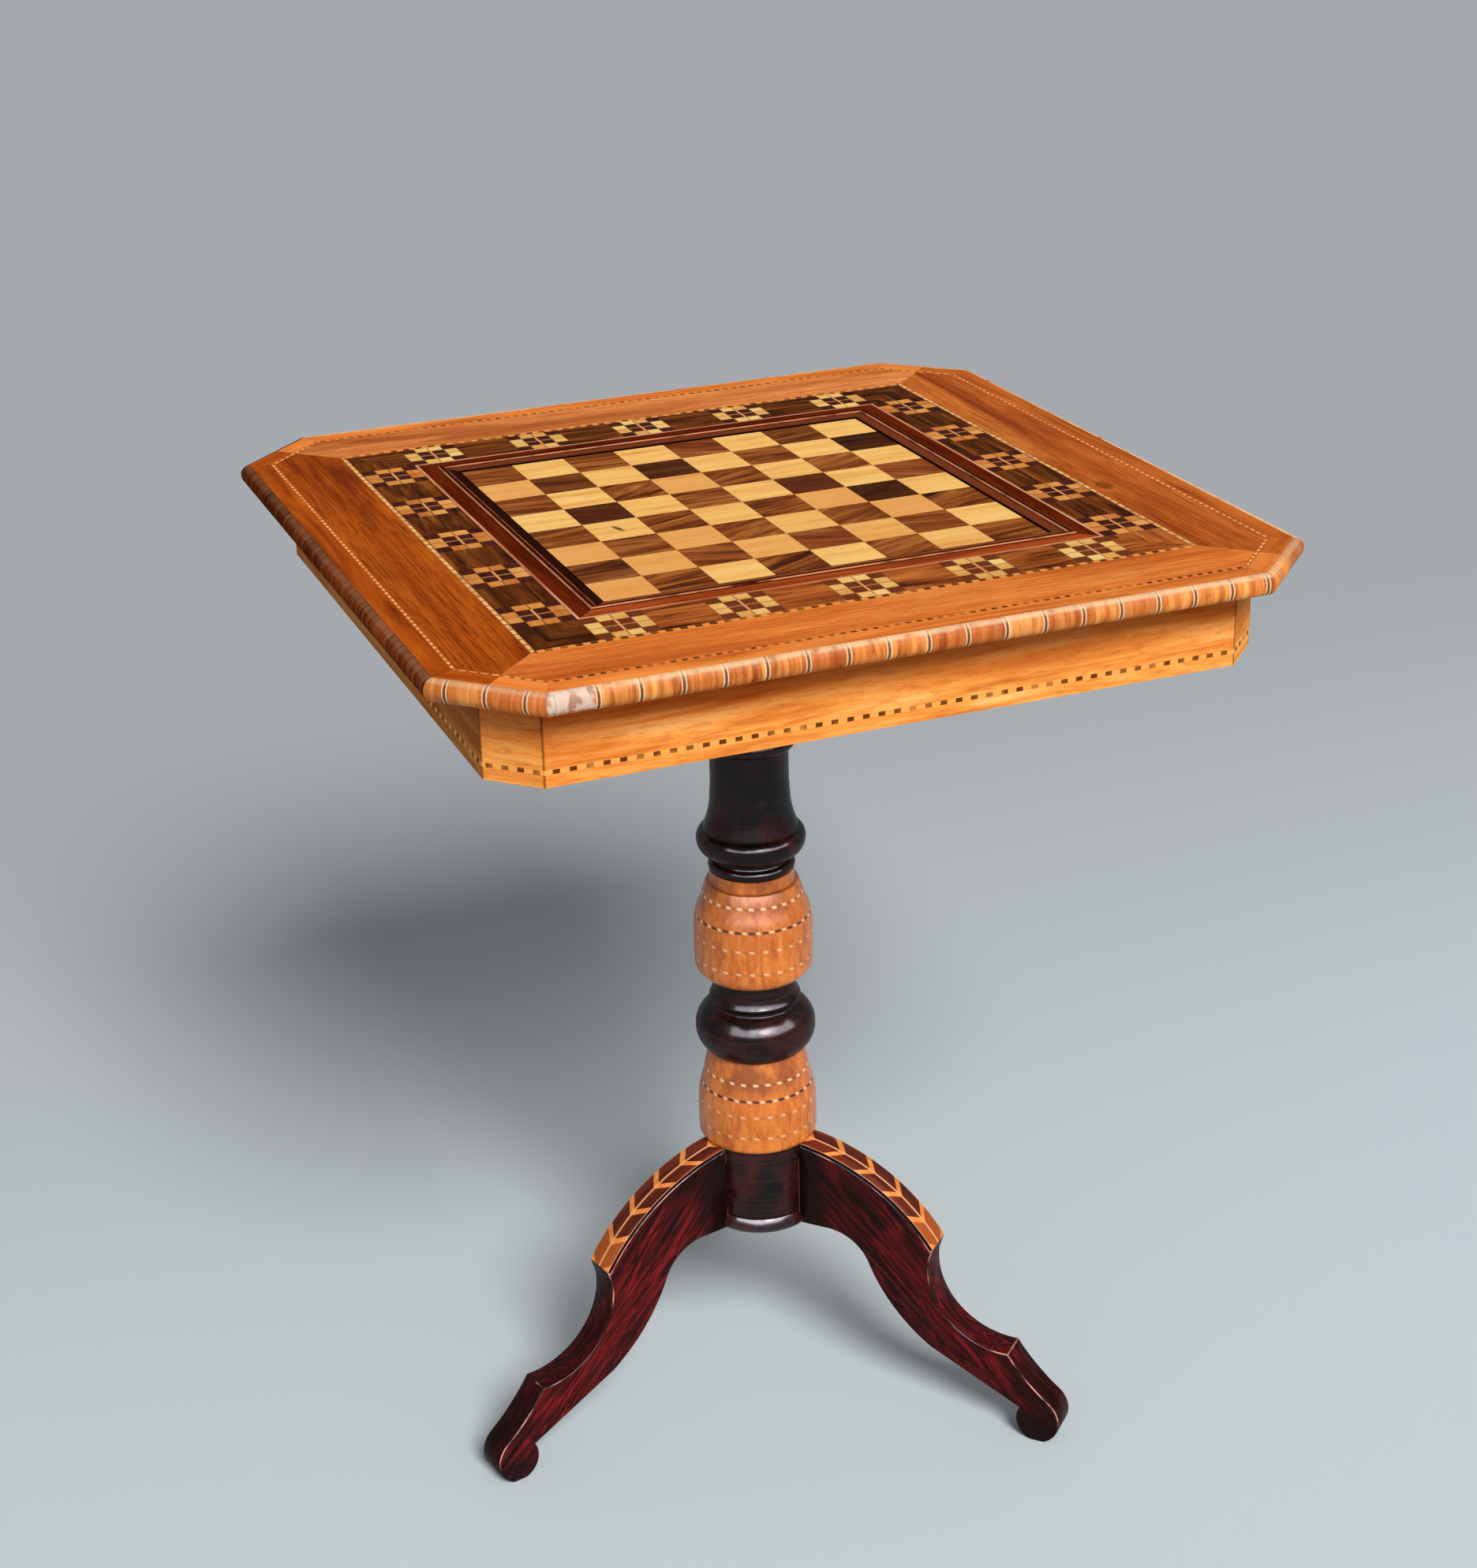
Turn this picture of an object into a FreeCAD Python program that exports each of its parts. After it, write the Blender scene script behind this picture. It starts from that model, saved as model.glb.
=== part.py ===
import FreeCAD, Part
import Sketcher
import math
import os
import re

# Chess table: a square parquetry top that turns on a turned pillar with three scroll legs.
# The origin is on the floor, on the pillar's axis, with +Z up and the top's sides along X and Y.

# Driving dimensions in millimetres, one cell each.
sizes = {
    # The whole table and the top
    "table_height": 732.0,
    "top_width": 610.0,
    "top_cant": 58.0,
    "top_thickness": 15.0,
    "veneer_thickness": 2.0,
    "edge_band_depth": 7.0,
    "edge_band_flat": 1.5,
    "margin_width": 14.0,
    "outer_string_width": 3.0,
    "inner_string_width": 4.0,
    "border_width": 48.5,
    # The chess board and its moulded frame
    "board_depth": 2.0,
    "frame_width": 27.0,
    "frame_string_width": 2.0,
    "frame_flat_width": 11.0,
    "frame_bead_width": 6.0,
    "frame_lip": 1.0,
    # The frieze under the top
    "frieze_overhang": 35.0,
    "frieze_cant": 30.0,
    "frieze_height": 58.0,
    "frieze_thickness": 18.0,
    "frieze_string_width": 3.0,
    "frieze_string_depth": 2.0,
    "frieze_string_lift": 8.5,
    "glue_block_depth": 20.0,
    "glue_block_height": 40.0,
    # The bearers, the boss and the swivel
    "bearer_width": 40.0,
    "boss_margin": 5.0,
    "boss_thickness": 27.0,
    "running_clearance": 0.08,
    "spigot_head": 8.0,
    "spigot_room": 10.0,
    "key_gap": 0.2,
    "key_width": 8.0,
    "key_height": 12.0,
    "key_overhang": 12.0,
    "key_room": 5.0,
    # The turned pillar
    "drum_lift": 161.0,
    "drum_height": 60.0,
    "drum_radius": 41.0,
    "base_cap_height": 11.0,
    "base_cap_radius": 45.0,
    "lower_urn_height": 75.0,
    "lower_urn_radius": 45.5,
    "knop_height": 63.0,
    "knop_radius": 46.0,
    "upper_urn_height": 87.0,
    "upper_urn_radius": 45.0,
    "shaft_bead_radius": 41.0,
    "dowel_radius": 13.0,
    # The scroll legs
    "leg_reach": 255.0,
    "leg_thickness": 25.0,
    "knee_strip_thickness": 3.0,
    "tongue_depth": 14.0,
    "tongue_neck_width": 10.0,
    "tongue_tail_width": 15.0,
    "tongue_shoulder": 12.0,
    # Clearances
    "glue_gap": 0.1,
    "cut_overrun": 4.0,
}

squares_per_side = 8
cells_per_side = 11
leg_count = 3
first_leg_angle = -47.0
cant_mitre_share = math.sqrt(2) - 1
square_mitre_share = 1.0
diagonal_share = math.sqrt(2)

# Sizes that follow from the driving ones.
derived = {
    "margin_inset": "edge_band_depth",
    "outer_string_inset": "edge_band_depth + margin_width",
    "border_inset": "outer_string_inset + outer_string_width",
    "border_half": "top_width / 2 - border_inset",
    "string_half": "border_half - border_width",
    "band_half": "string_half - inner_string_width",
    "cell": f"band_half * 2 / {cells_per_side}",
    "tile": "cell / 4",
    "frame_half": "band_half - cell",
    "board_half": "frame_half - frame_width",
    "square_size": f"board_half * 2 / {squares_per_side}",
    "panel_half": "top_width / 2 - edge_band_depth",
    "panel_thickness": "top_thickness - veneer_thickness",
    "veneer_lift": "table_height - veneer_thickness",
    "board_lift": "veneer_lift - board_depth",
    "panel_lift": "table_height - top_thickness",
    "frieze_lift": "panel_lift - frieze_height",
    "frieze_width": "top_width - frieze_overhang * 2",
    "frieze_inside": "frieze_width / 2 - frieze_thickness",
    "key_reach": "dowel_radius + key_overhang",
    "bearer_inside": "key_reach + key_room",
    "bearer_height": "key_gap + key_height + spigot_head + spigot_room",
    "boss_half": "bearer_inside + bearer_width + boss_margin",
    "boss_lift": "panel_lift - bearer_height - boss_thickness",
    "knee_height": "drum_lift + drum_height",
    "knop_lift": "knee_height + lower_urn_height",
    "upper_urn_lift": "knop_lift + knop_height",
    "shaft_lift": "upper_urn_lift + upper_urn_height",
    "shaft_height": "boss_lift - shaft_lift",
    "key_lift": "boss_lift + boss_thickness + key_gap",
    "dowel_height": "key_lift + key_height + spigot_head - drum_lift",
    "bore": "dowel_radius + glue_gap",
    "frame_depth": "frame_width - frame_string_width",
    "tongue_height": "drum_height - tongue_shoulder",
}

# Turned outlines as shares of the piece's own radius and height, from its lower end to its upper one.
base_cap_shares = [(0.94, 0.0), (1.0, 0.25), (1.0, 0.65), (0.93, 1.0)]
lower_urn_shares = [(0.94, 0.0), (1.0, 0.07), (1.0, 0.44), (0.91, 0.68), (0.79, 1.0)]
knop_shares = [
    (0.80, 0.0),
    (0.92, 0.06),
    (1.0, 0.24),
    (1.0, 0.34),
    (0.90, 0.49),
    (0.76, 0.59),
    (0.72, 0.63),
    (0.76, 0.67),
    (0.65, 1.0),
]
upper_urn_shares = [
    (0.80, 0.0),
    (0.95, 0.045),
    (1.0, 0.13),
    (1.0, 0.49),
    (0.94, 0.655),
    (0.71, 0.9),
    (0.71, 1.0),
]
shaft_shares = [
    (0.76, 0.0),
    (0.78, 0.02),
    (0.70, 0.04),
    (0.76, 0.06),
    (0.97, 0.088),
    (1.0, 0.115),
    (0.86, 0.165),
    (0.72, 0.3),
    (0.72, 0.46),
    (0.83, 0.46),
    (0.83, 0.51),
    (0.66, 0.51),
    (0.66, 1.0),
]

# The leg's outline as shares of its reach and of the knee's height, from under the drum to the knee.
# The third share bends the way to the next point: an arc's rise over half its chord, outwards if positive.
leg_outline_shares = [
    (0.235, 0.679, -0.33),
    (0.384, 0.570, 0.147),
    (0.588, 0.285, 0.0),
    (0.875, 0.122, 0.47),
    (0.910, 0.0, 0.0),
    (0.953, 0.0, 0.55),
    (0.969, 0.163, -0.08),
    (0.835, 0.330, -0.47),
    (0.578, 0.633, 0.0),
]
knee_end_shares = (0.592, 0.688)
knee_start_share = 0.165
knee_bend_share = 0.21
strip_lean_shares = (0.8, 0.6)
leg_root_share = 0.8
edge_bend_share = 0.36
frame_bead_bend_share = 0.5

doc = FreeCAD.newDocument("ChessTable")
sheet = doc.addObject("Spreadsheet::Sheet", "Sizes")
for row, (size_name, size) in enumerate(sizes.items(), start=1):
    sheet.set(f"A{row}", size_name)
    sheet.set(f"B{row}", str(size))
    sheet.setAlias(f"B{row}", size_name)
doc.recompute()

parts = []


def formula(text):
    # Writes a size in words as an expression on the sheet's cells.
    def spell(match):
        word = match.group()
        if word in derived:
            return f"({formula(derived[word])})"
        if word in sizes:
            return f"Sizes.{word}"
        return word

    return re.sub(r"[a-z_]+", spell, str(text))


def measure(text):
    return float(sheet.evalExpression(formula(text)))


def bind(target, prop, text):
    target.setExpression(prop, formula(text))


def origin_feature(body, role):
    return next(feature for feature in body.Origin.OriginFeatures if feature.Role == role)


def new_body(label, lift="0", turn=0.0):
    body = doc.addObject("PartDesign::Body", "Body")
    body.Label = label
    body.Placement = FreeCAD.Placement(FreeCAD.Vector(), FreeCAD.Rotation(FreeCAD.Vector(0, 0, 1), turn))
    bind(body, "Placement.Base.z", lift)
    return body


def new_sketch(body, role, rise="0"):
    sketch = body.newObject("Sketcher::SketchObject", "Outline")
    sketch.AttachmentSupport = [(origin_feature(body, role), "")]
    sketch.MapMode = "FlatFace"
    bind(sketch, "AttachmentOffset.Base.z", rise)
    return sketch


def fix_distance(sketch, kind, geometry, end, text):
    index = sketch.addConstraint(Sketcher.Constraint(kind, -1, 1, geometry, end, measure(text)))
    bind(sketch, f"Constraints[{index}]", text)


def fix_radius(sketch, geometry, text):
    index = sketch.addConstraint(Sketcher.Constraint("Radius", geometry, measure(text)))
    bind(sketch, f"Constraints[{index}]", text)


def add_edge(sketch, start, end, bend):
    # Returns the edge with the numbers of its first and last ends: arcs are kept counter-clockwise.
    if bend == 0:
        return sketch.addGeometry(Part.LineSegment(start, end)), 1, 2
    chord = end.sub(start)
    outwards = FreeCAD.Vector(chord.y, -chord.x, 0)
    crown = start.add(chord.multiply(0.5)).add(outwards.multiply(bend / 2))
    if bend > 0:
        return sketch.addGeometry(Part.Arc(start, crown, end)), 1, 2
    return sketch.addGeometry(Part.Arc(end, crown, start)), 2, 1


def draw_outline(sketch, points):
    # Draws a closed outline through (across, up, bend) points and ties each point to the sheet.
    spots = [FreeCAD.Vector(measure(across), measure(up), 0) for across, up, _ in points]
    following = list(range(1, len(points))) + [0]
    edges = [add_edge(sketch, spots[i], spots[j], points[i][2]) for i, j in enumerate(following)]
    for i, j in enumerate(following):
        geometry, first, last = edges[i]
        sketch.addConstraint(Sketcher.Constraint("Coincident", geometry, last, edges[j][0], edges[j][1]))
        fix_distance(sketch, "DistanceX", geometry, first, points[i][0])
        fix_distance(sketch, "DistanceY", geometry, first, points[i][1])
        bend = points[i][2]
        if bend != 0:
            across = f"(({points[j][0]}) - ({points[i][0]}))"
            up = f"(({points[j][1]}) - ({points[i][1]}))"
            fix_radius(sketch, geometry, f"sqrt({across}^2 + {up}^2) * {(1 + bend ** 2) / (4 * abs(bend))}")


def draw_rectangle(sketch, left, bottom, right, top):
    draw_outline(sketch, [(left, bottom, 0), (right, bottom, 0), (right, top, 0), (left, top, 0)])


def draw_circle(sketch, across, up, radius):
    centre = FreeCAD.Vector(measure(across), measure(up), 0)
    geometry = sketch.addGeometry(Part.Circle(centre, FreeCAD.Vector(0, 0, 1), measure(radius)))
    fix_distance(sketch, "DistanceX", geometry, 3, across)
    fix_distance(sketch, "DistanceY", geometry, 3, up)
    fix_radius(sketch, geometry, radius)


def pad(body, sketch, length, both_ways=False):
    feature = body.newObject("PartDesign::Pad", "Pad")
    feature.Profile = sketch
    feature.SideType = "Symmetric" if both_ways else "One side"
    bind(feature, "Length", length)
    doc.recompute()
    return feature


def pocket(body, sketch, length=None, both_ways=False):
    # Cuts upwards from its sketch, to a depth or through all, and must take some wood away.
    before = body.Shape.Volume
    feature = body.newObject("PartDesign::Pocket", "Pocket")
    feature.Profile = sketch
    feature.Reversed = True
    if both_ways:
        feature.SideType = "Symmetric"
    if length is None:
        feature.Type = "ThroughAll"
    else:
        bind(feature, "Length", length)
    doc.recompute()
    if body.Shape.Volume >= before:
        raise RuntimeError(f"a pocket of {body.Label} cuts nothing")
    return feature


def revolve(body, points):
    sketch = new_sketch(body, "XZ_Plane")
    draw_outline(sketch, points)
    feature = body.newObject("PartDesign::Revolution", "Turning")
    feature.Profile = sketch
    feature.ReferenceAxis = (sketch, ["V_Axis"])
    feature.Angle = 360.0
    doc.recompute()
    return feature


def repeat_round(body, count):
    # Repeats the whole piece in even steps about the pillar's axis.
    pattern = body.newObject("PartDesign::PolarPattern", "Around")
    pattern.TransformMode = "Whole shape"
    pattern.Axis = (origin_feature(body, "Z_Axis"), [""])
    pattern.Angle = 360.0
    pattern.Occurrences = count
    body.Tip = pattern
    doc.recompute()


def repeat_grid(body, feature, steps):
    # Repeats a feature along straight rows and, where a step has no length, about the axis.
    grid = body.newObject("PartDesign::MultiTransform", "Grid")
    grid.Originals = [feature]
    rows = []
    for role, span, count in steps:
        if span is None:
            row = body.newObject("PartDesign::PolarPattern", "Around")
            row.Axis = (origin_feature(body, role), [""])
            row.Angle = 360.0
        else:
            row = body.newObject("PartDesign::LinearPattern", "Row")
            row.Direction = (origin_feature(body, role), [""])
            bind(row, "Length", span)
        row.Occurrences = count
        rows.append(row)
    grid.Transformations = rows
    body.Tip = grid
    doc.recompute()


def keep(piece):
    parts.append(piece)
    return piece


def keep_group(label, pieces):
    group = doc.addObject("Part::Compound", "Group")
    group.Label = label
    group.Links = pieces
    return keep(group)


# Mitred lengths: each runs along its own Y, faces +X and is turned into place.
def mitred_length(label, section, reach, half, depth, mitre_share, lift, turn):
    # The section is (inset from the outer face, height, bend). The ends are mitred to their neighbours.
    body = new_body(label, lift, turn)
    outline = new_sketch(body, "XZ_Plane")
    draw_outline(outline, [(f"({reach}) - ({inset})", height, bend) for inset, height, bend in section])
    pad(body, outline, f"({half}) * 2", both_ways=True)
    ends = new_sketch(body, "XY_Plane")
    inner = f"({reach}) - ({depth}) - cut_overrun"
    outer = f"({reach}) + cut_overrun"
    short = f"({half}) - glue_gap / 2 - (({depth}) + cut_overrun) * {mitre_share}"
    long = f"({half}) - glue_gap / 2 + cut_overrun * {mitre_share}"
    draw_outline(ends, [(inner, short, 0), (outer, long, 0), (inner, long, 0)])
    draw_outline(ends, [(inner, f"-({short})", 0), (inner, f"-({long})", 0), (outer, f"-({long})", 0)])
    pocket(body, ends)
    return body


def plain_section(depth, height):
    return [("0", "0", 0), ("0", height, 0), (depth, height, 0), (depth, "0", 0)]


side_turns = {"right": 0.0, "back": 90.0, "left": 180.0, "front": 270.0}
cant_turns = {"back_right": 45.0, "back_left": 135.0, "front_left": 225.0, "front_right": 315.0}


def octagon_side(width, cant, inset):
    # Reach and half length of a side of a canted square, set in from its outline.
    reach = f"{width} / 2 - ({inset})"
    half = f"{width} / 2 - {cant} - ({inset}) * {cant_mitre_share}"
    return reach, half


def octagon_cant(width, cant, inset):
    reach = f"({width} - {cant}) / {diagonal_share} - ({inset})"
    half = f"{cant} / {diagonal_share} - ({inset}) * {cant_mitre_share}"
    return reach, half


def octagon_pieces(name, section, depth, width, cant, lift):
    # Eight separate pieces round a canted square, each in its own node.
    for corner_rule, turns in ((octagon_side, side_turns), (octagon_cant, cant_turns)):
        reach, half = corner_rule(width, cant, "0")
        for place, turn in turns.items():
            keep(mitred_length(f"{name}_{place}", section, reach, half, depth, cant_mitre_share, lift, turn))


def octagon_ring(label, depth, height, width, cant, inset, lift):
    # A ring of four sides and four cants in one node, as separate strips.
    strips = []
    for corner_rule, turn in ((octagon_side, 0.0), (octagon_cant, 45.0)):
        reach, half = corner_rule(width, cant, inset)
        section = plain_section(depth, height)
        strip = mitred_length("strip", section, reach, half, depth, cant_mitre_share, lift, turn)
        repeat_round(strip, len(side_turns))
        strips.append(strip)
    return keep_group(label, strips)


def square_ring(label, depth, reach, lift):
    strip = mitred_length(
        label, plain_section(depth, "veneer_thickness"), reach, reach, depth, square_mitre_share, lift, 0.0)
    repeat_round(strip, len(side_turns))
    return keep(strip)


# The top's ground and veneers.
def make_ground_panel():
    body = new_body("ground_panel", "panel_lift")
    outline = new_sketch(body, "XY_Plane")
    corner = f"top_width - top_cant - edge_band_depth * {diagonal_share} - panel_half"
    half = "panel_half"
    draw_outline(outline, [
        (half, f"-({corner})", 0),
        (half, corner, 0),
        (corner, half, 0),
        (f"-({corner})", half, 0),
        (f"-{half}", corner, 0),
        (f"-{half}", f"-({corner})", 0),
        (f"-({corner})", f"-{half}", 0),
        (corner, f"-{half}", 0),
    ])
    pad(body, outline, "panel_thickness")
    recess = new_sketch(body, "XY_Plane", "panel_thickness - board_depth")
    draw_rectangle(recess, "-board_half", "-board_half", "board_half", "board_half")
    pocket(body, recess)
    keep(body)


def make_borders():
    # Four boards that meet on the diagonals and share each cant between two.
    cant_sum = f"(top_width - top_cant - ({derived['border_inset']}) * {diagonal_share})"
    cant_end = f"{cant_sum} - border_half"
    for place, turn in side_turns.items():
        body = new_body(f"border_{place}", "veneer_lift", turn)
        outline = new_sketch(body, "XY_Plane")
        draw_outline(outline, [
            ("string_half", "-string_half", 0),
            (f"{cant_sum} / 2", f"-{cant_sum} / 2", 0),
            ("border_half", f"-({cant_end})", 0),
            ("border_half", cant_end, 0),
            (f"{cant_sum} / 2", f"{cant_sum} / 2", 0),
            ("string_half", "string_half", 0),
        ])
        pad(body, outline, "veneer_thickness")
        keep(body)


def make_squares(label, columns):
    # Two squares that meet at a corner, repeated at every second place both ways.
    body = new_body(label, "board_lift")
    outline = new_sketch(body, "XY_Plane")
    for row, column in enumerate(columns):
        left = f"square_size * {column} - board_half"
        bottom = f"square_size * {row} - board_half"
        draw_rectangle(
            outline, f"{left} + glue_gap / 2", f"{bottom} + glue_gap / 2",
            f"{left} + square_size - glue_gap / 2", f"{bottom} + square_size - glue_gap / 2")
    pair = pad(body, outline, "veneer_thickness")
    count = squares_per_side // len(columns)
    span = f"square_size * {len(columns) * (count - 1)}"
    repeat_grid(body, pair, [("X_Axis", span, count), ("Y_Axis", span, count)])
    keep(body)


def make_band_pieces(label, first_cell, draw):
    # Repeats what draw lays in one cell at every second cell of the band, on all four sides.
    body = new_body(label, "veneer_lift")
    outline = new_sketch(body, "XY_Plane")
    draw(outline, "band_half - cell / 2", f"cell * {first_cell}")
    cell_piece = pad(body, outline, "veneer_thickness")
    count = cells_per_side // 2
    span = f"cell * {2 * (count - 1)}"
    repeat_grid(body, cell_piece, [("Y_Axis", span, count), ("Z_Axis", None, len(side_turns))])
    keep(body)


def draw_block(sketch, across, up):
    reach = "cell / 2 - glue_gap / 2"
    draw_rectangle(sketch, f"{across} - ({reach})", f"{up} - ({reach})", f"{across} + {reach}", f"{up} + {reach}")


def draw_tiles(sketch, across, up, places):
    # Tiles on the rosette's four by four grid, each as long and as high as it spans.
    for column, row, columns, rows in places:
        left = f"{across} + tile * {column - 2} + glue_gap / 2"
        bottom = f"{up} + tile * {row - 2} + glue_gap / 2"
        draw_rectangle(
            sketch, left, bottom, f"{left} + tile * {columns} - glue_gap", f"{bottom} + tile * {rows} - glue_gap")


def draw_light_tiles(sketch, across, up):
    draw_tiles(sketch, across, up, [(1, 0, 2, 1), (0, 1, 1, 2), (3, 1, 1, 2), (1, 3, 2, 1)])


def draw_dark_tiles(sketch, across, up):
    # Four corner tiles and a centre two tiles wide.
    draw_tiles(sketch, across, up, [(0, 0, 1, 1), (3, 0, 1, 1), (0, 3, 1, 1), (3, 3, 1, 1), (1, 1, 2, 2)])


def make_frame():
    # A flat band, a raised bead and a slope down to the sunk board.
    bead_end = "frame_flat_width + frame_bead_width"
    section = [
        ("0", "0", 0),
        ("0", "veneer_thickness", 0),
        ("frame_flat_width", "veneer_thickness", frame_bead_bend_share),
        (bead_end, "veneer_thickness", 0),
        ("frame_depth", "frame_lip", 0),
        ("frame_depth", "0", 0),
    ]
    reach = "frame_half - frame_string_width"
    for place, turn in side_turns.items():
        keep(mitred_length(
            f"frame_{place}", section, reach, reach, "frame_depth", square_mitre_share, "veneer_lift", turn))


def make_edge_band():
    section = [
        ("edge_band_depth", "0", 0),
        ("edge_band_depth - edge_band_flat", "0", edge_bend_share),
        ("0", "top_thickness / 2", edge_bend_share),
        ("edge_band_depth - edge_band_flat", "top_thickness", 0),
        ("edge_band_depth", "top_thickness", 0),
    ]
    octagon_pieces("edge_band", section, "edge_band_depth", "top_width", "top_cant", "panel_lift")


# The frieze and what stands inside it.
def make_frieze():
    groove_top = "frieze_string_lift + frieze_string_width"
    section = [
        ("0", "0", 0),
        ("0", "frieze_string_lift", 0),
        ("frieze_string_depth", "frieze_string_lift", 0),
        ("frieze_string_depth", groove_top, 0),
        ("0", groove_top, 0),
        ("0", "frieze_height", 0),
        ("frieze_thickness", "frieze_height", 0),
        ("frieze_thickness", "0", 0),
    ]
    octagon_pieces("frieze", section, "frieze_thickness", "frieze_width", "frieze_cant", "frieze_lift")
    octagon_ring(
        "frieze_string", "frieze_string_depth", "frieze_string_width", "frieze_width", "frieze_cant", "0",
        "frieze_lift + frieze_string_lift")


def make_glue_blocks():
    body = new_body("glue_blocks", "panel_lift - glue_block_height", 45.0)
    outline = new_sketch(body, "XY_Plane")
    reach, half = octagon_cant("frieze_width", "frieze_cant", "frieze_thickness")
    end = f"{half} - glue_gap"
    draw_rectangle(outline, f"{reach} - glue_block_depth", f"-({end})", reach, end)
    pad(body, outline, "glue_block_height")
    repeat_round(body, len(cant_turns))
    keep(body)


def make_bearers():
    for place, side in (("left", "-"), ("right", "+")):
        body = new_body(f"bearer_{place}", "panel_lift - bearer_height")
        near = f"{side} (bearer_inside)"
        far = f"{side} (bearer_inside + bearer_width)"
        end = "frieze_inside - glue_gap"
        outline = new_sketch(body, "XY_Plane")
        draw_rectangle(outline, near, f"-({end})", far, end)
        pad(body, outline, "bearer_height")
        keep(body)


def make_boss():
    body = new_body("boss", "boss_lift")
    outline = new_sketch(body, "XY_Plane")
    draw_rectangle(outline, "-boss_half", "-boss_half", "boss_half", "boss_half")
    draw_circle(outline, "0", "0", "dowel_radius + running_clearance")
    pad(body, outline, "boss_thickness")
    keep(body)


# The turned pillar: sections threaded on one long dowel, which the top turns on.
def scaled(shares, radius, height):
    return [(f"{radius} * {across}", f"{height} * {up}", 0) for across, up in shares]


def make_section(label, shares, radius, height, lift):
    body = new_body(label, lift)
    revolve(body, [("bore", "0", 0), *scaled(shares, radius, height), ("bore", height, 0)])
    return body


def repeat_for_legs(body, feature):
    pattern = body.newObject("PartDesign::PolarPattern", "ForLegs")
    pattern.Originals = [feature]
    pattern.Axis = (origin_feature(body, "Z_Axis"), [""])
    pattern.Angle = 360.0
    pattern.Occurrences = leg_count
    body.Tip = pattern
    doc.recompute()


def make_base_cap():
    # A bead round the drum's foot, cut away where the legs pass. Its core closes the drum's slots.
    body = new_body("base_cap", "drum_lift - base_cap_height", first_leg_angle)
    outline = scaled(base_cap_shares, "base_cap_radius", "base_cap_height")
    revolve(body, [("0", "0", 0), *outline, ("0", "base_cap_height", 0)])
    seat = new_sketch(body, "XY_Plane")
    half = "leg_thickness / 2 + glue_gap"
    draw_rectangle(seat, "drum_radius / 2", f"-({half})", "base_cap_radius + cut_overrun", half)
    repeat_for_legs(body, pocket(body, seat, "base_cap_height + cut_overrun"))
    revolve(body, [
        ("0", "0", 0),
        ("drum_radius", "0", 0),
        ("drum_radius", "base_cap_height", 0),
        ("0", "base_cap_height", 0),
    ])
    return body


def draw_tongue(sketch, gap):
    # A dovetail: narrow at the drum's skin, wide at its tail inside the drum.
    tail = f"drum_radius - tongue_depth - {gap}"
    root = "drum_radius + cut_overrun"
    tail_half = f"tongue_tail_width / 2 + {gap}"
    neck_half = f"tongue_neck_width / 2 + {gap}"
    draw_outline(sketch, [
        (tail, f"-({tail_half})", 0),
        ("drum_radius", f"-({neck_half})", 0),
        (root, f"-({neck_half})", 0),
        (root, neck_half, 0),
        ("drum_radius", neck_half, 0),
        (tail, tail_half, 0),
    ])


def make_drum():
    # The slots are open below, so that the legs slide up into them.
    body = new_body("drum", "drum_lift", first_leg_angle)
    revolve(body, [
        ("bore", "0", 0),
        ("drum_radius", "0", 0),
        ("drum_radius", "drum_height", 0),
        ("bore", "drum_height", 0),
    ])
    slot = new_sketch(body, "XY_Plane")
    draw_tongue(slot, "glue_gap")
    repeat_for_legs(body, pocket(body, slot, "tongue_height + glue_gap"))
    return body


def make_dowel():
    # Its upper end is the spigot that the top's boss turns on, with a mortise for the key.
    body = new_body("dowel", "drum_lift")
    outline = new_sketch(body, "XY_Plane")
    draw_circle(outline, "0", "0", "dowel_radius")
    pad(body, outline, "dowel_height")
    mortise = new_sketch(body, "YZ_Plane")
    half = "key_width / 2 + glue_gap"
    floor = "key_lift - drum_lift - glue_gap"
    draw_rectangle(mortise, f"-({half})", floor, half, f"{floor} + key_height + glue_gap * 2")
    pocket(body, mortise, "dowel_radius * 2 + cut_overrun", both_ways=True)
    return body


def make_pillar():
    # One node for the pale wood and one for the black.
    keep_group("pale_turnings", [
        make_dowel(),
        make_section("lower_urn", lower_urn_shares, "lower_urn_radius", "lower_urn_height", "knee_height"),
        make_section("upper_urn", upper_urn_shares, "upper_urn_radius", "upper_urn_height", "upper_urn_lift"),
    ])
    keep_group("black_turnings", [
        make_base_cap(),
        make_drum(),
        make_section("knop", knop_shares, "knop_radius", "knop_height", "knop_lift"),
        make_section("upper_shaft", shaft_shares, "shaft_bead_radius", "shaft_height", "shaft_lift"),
    ])


def make_swivel_key():
    # A wooden key through the dowel keeps the top from lifting off and lets it turn.
    body = new_body("swivel_key", "key_lift")
    outline = new_sketch(body, "XY_Plane")
    draw_rectangle(outline, "-(key_reach)", "-key_width / 2", "key_reach", "key_width / 2")
    pad(body, outline, "key_height")
    keep(body)


# The scroll legs: each points along its own +X and is turned into place.
def knee_points():
    start = (f"leg_reach * {knee_start_share}", "knee_height")
    end = (f"leg_reach * {knee_end_shares[0]}", f"knee_height * {knee_end_shares[1]}")
    return start, end


def draw_knee_strip(sketch):
    start, end = knee_points()
    lean_across, lean_up = strip_lean_shares
    inner_end = (f"{end[0]} - knee_strip_thickness * {lean_across}", f"{end[1]} - knee_strip_thickness * {lean_up}")
    draw_outline(sketch, [
        (start[0], "knee_height - knee_strip_thickness", -knee_bend_share),
        (*inner_end, 0),
        (*end, knee_bend_share),
        (*start, 0),
    ])


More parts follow.
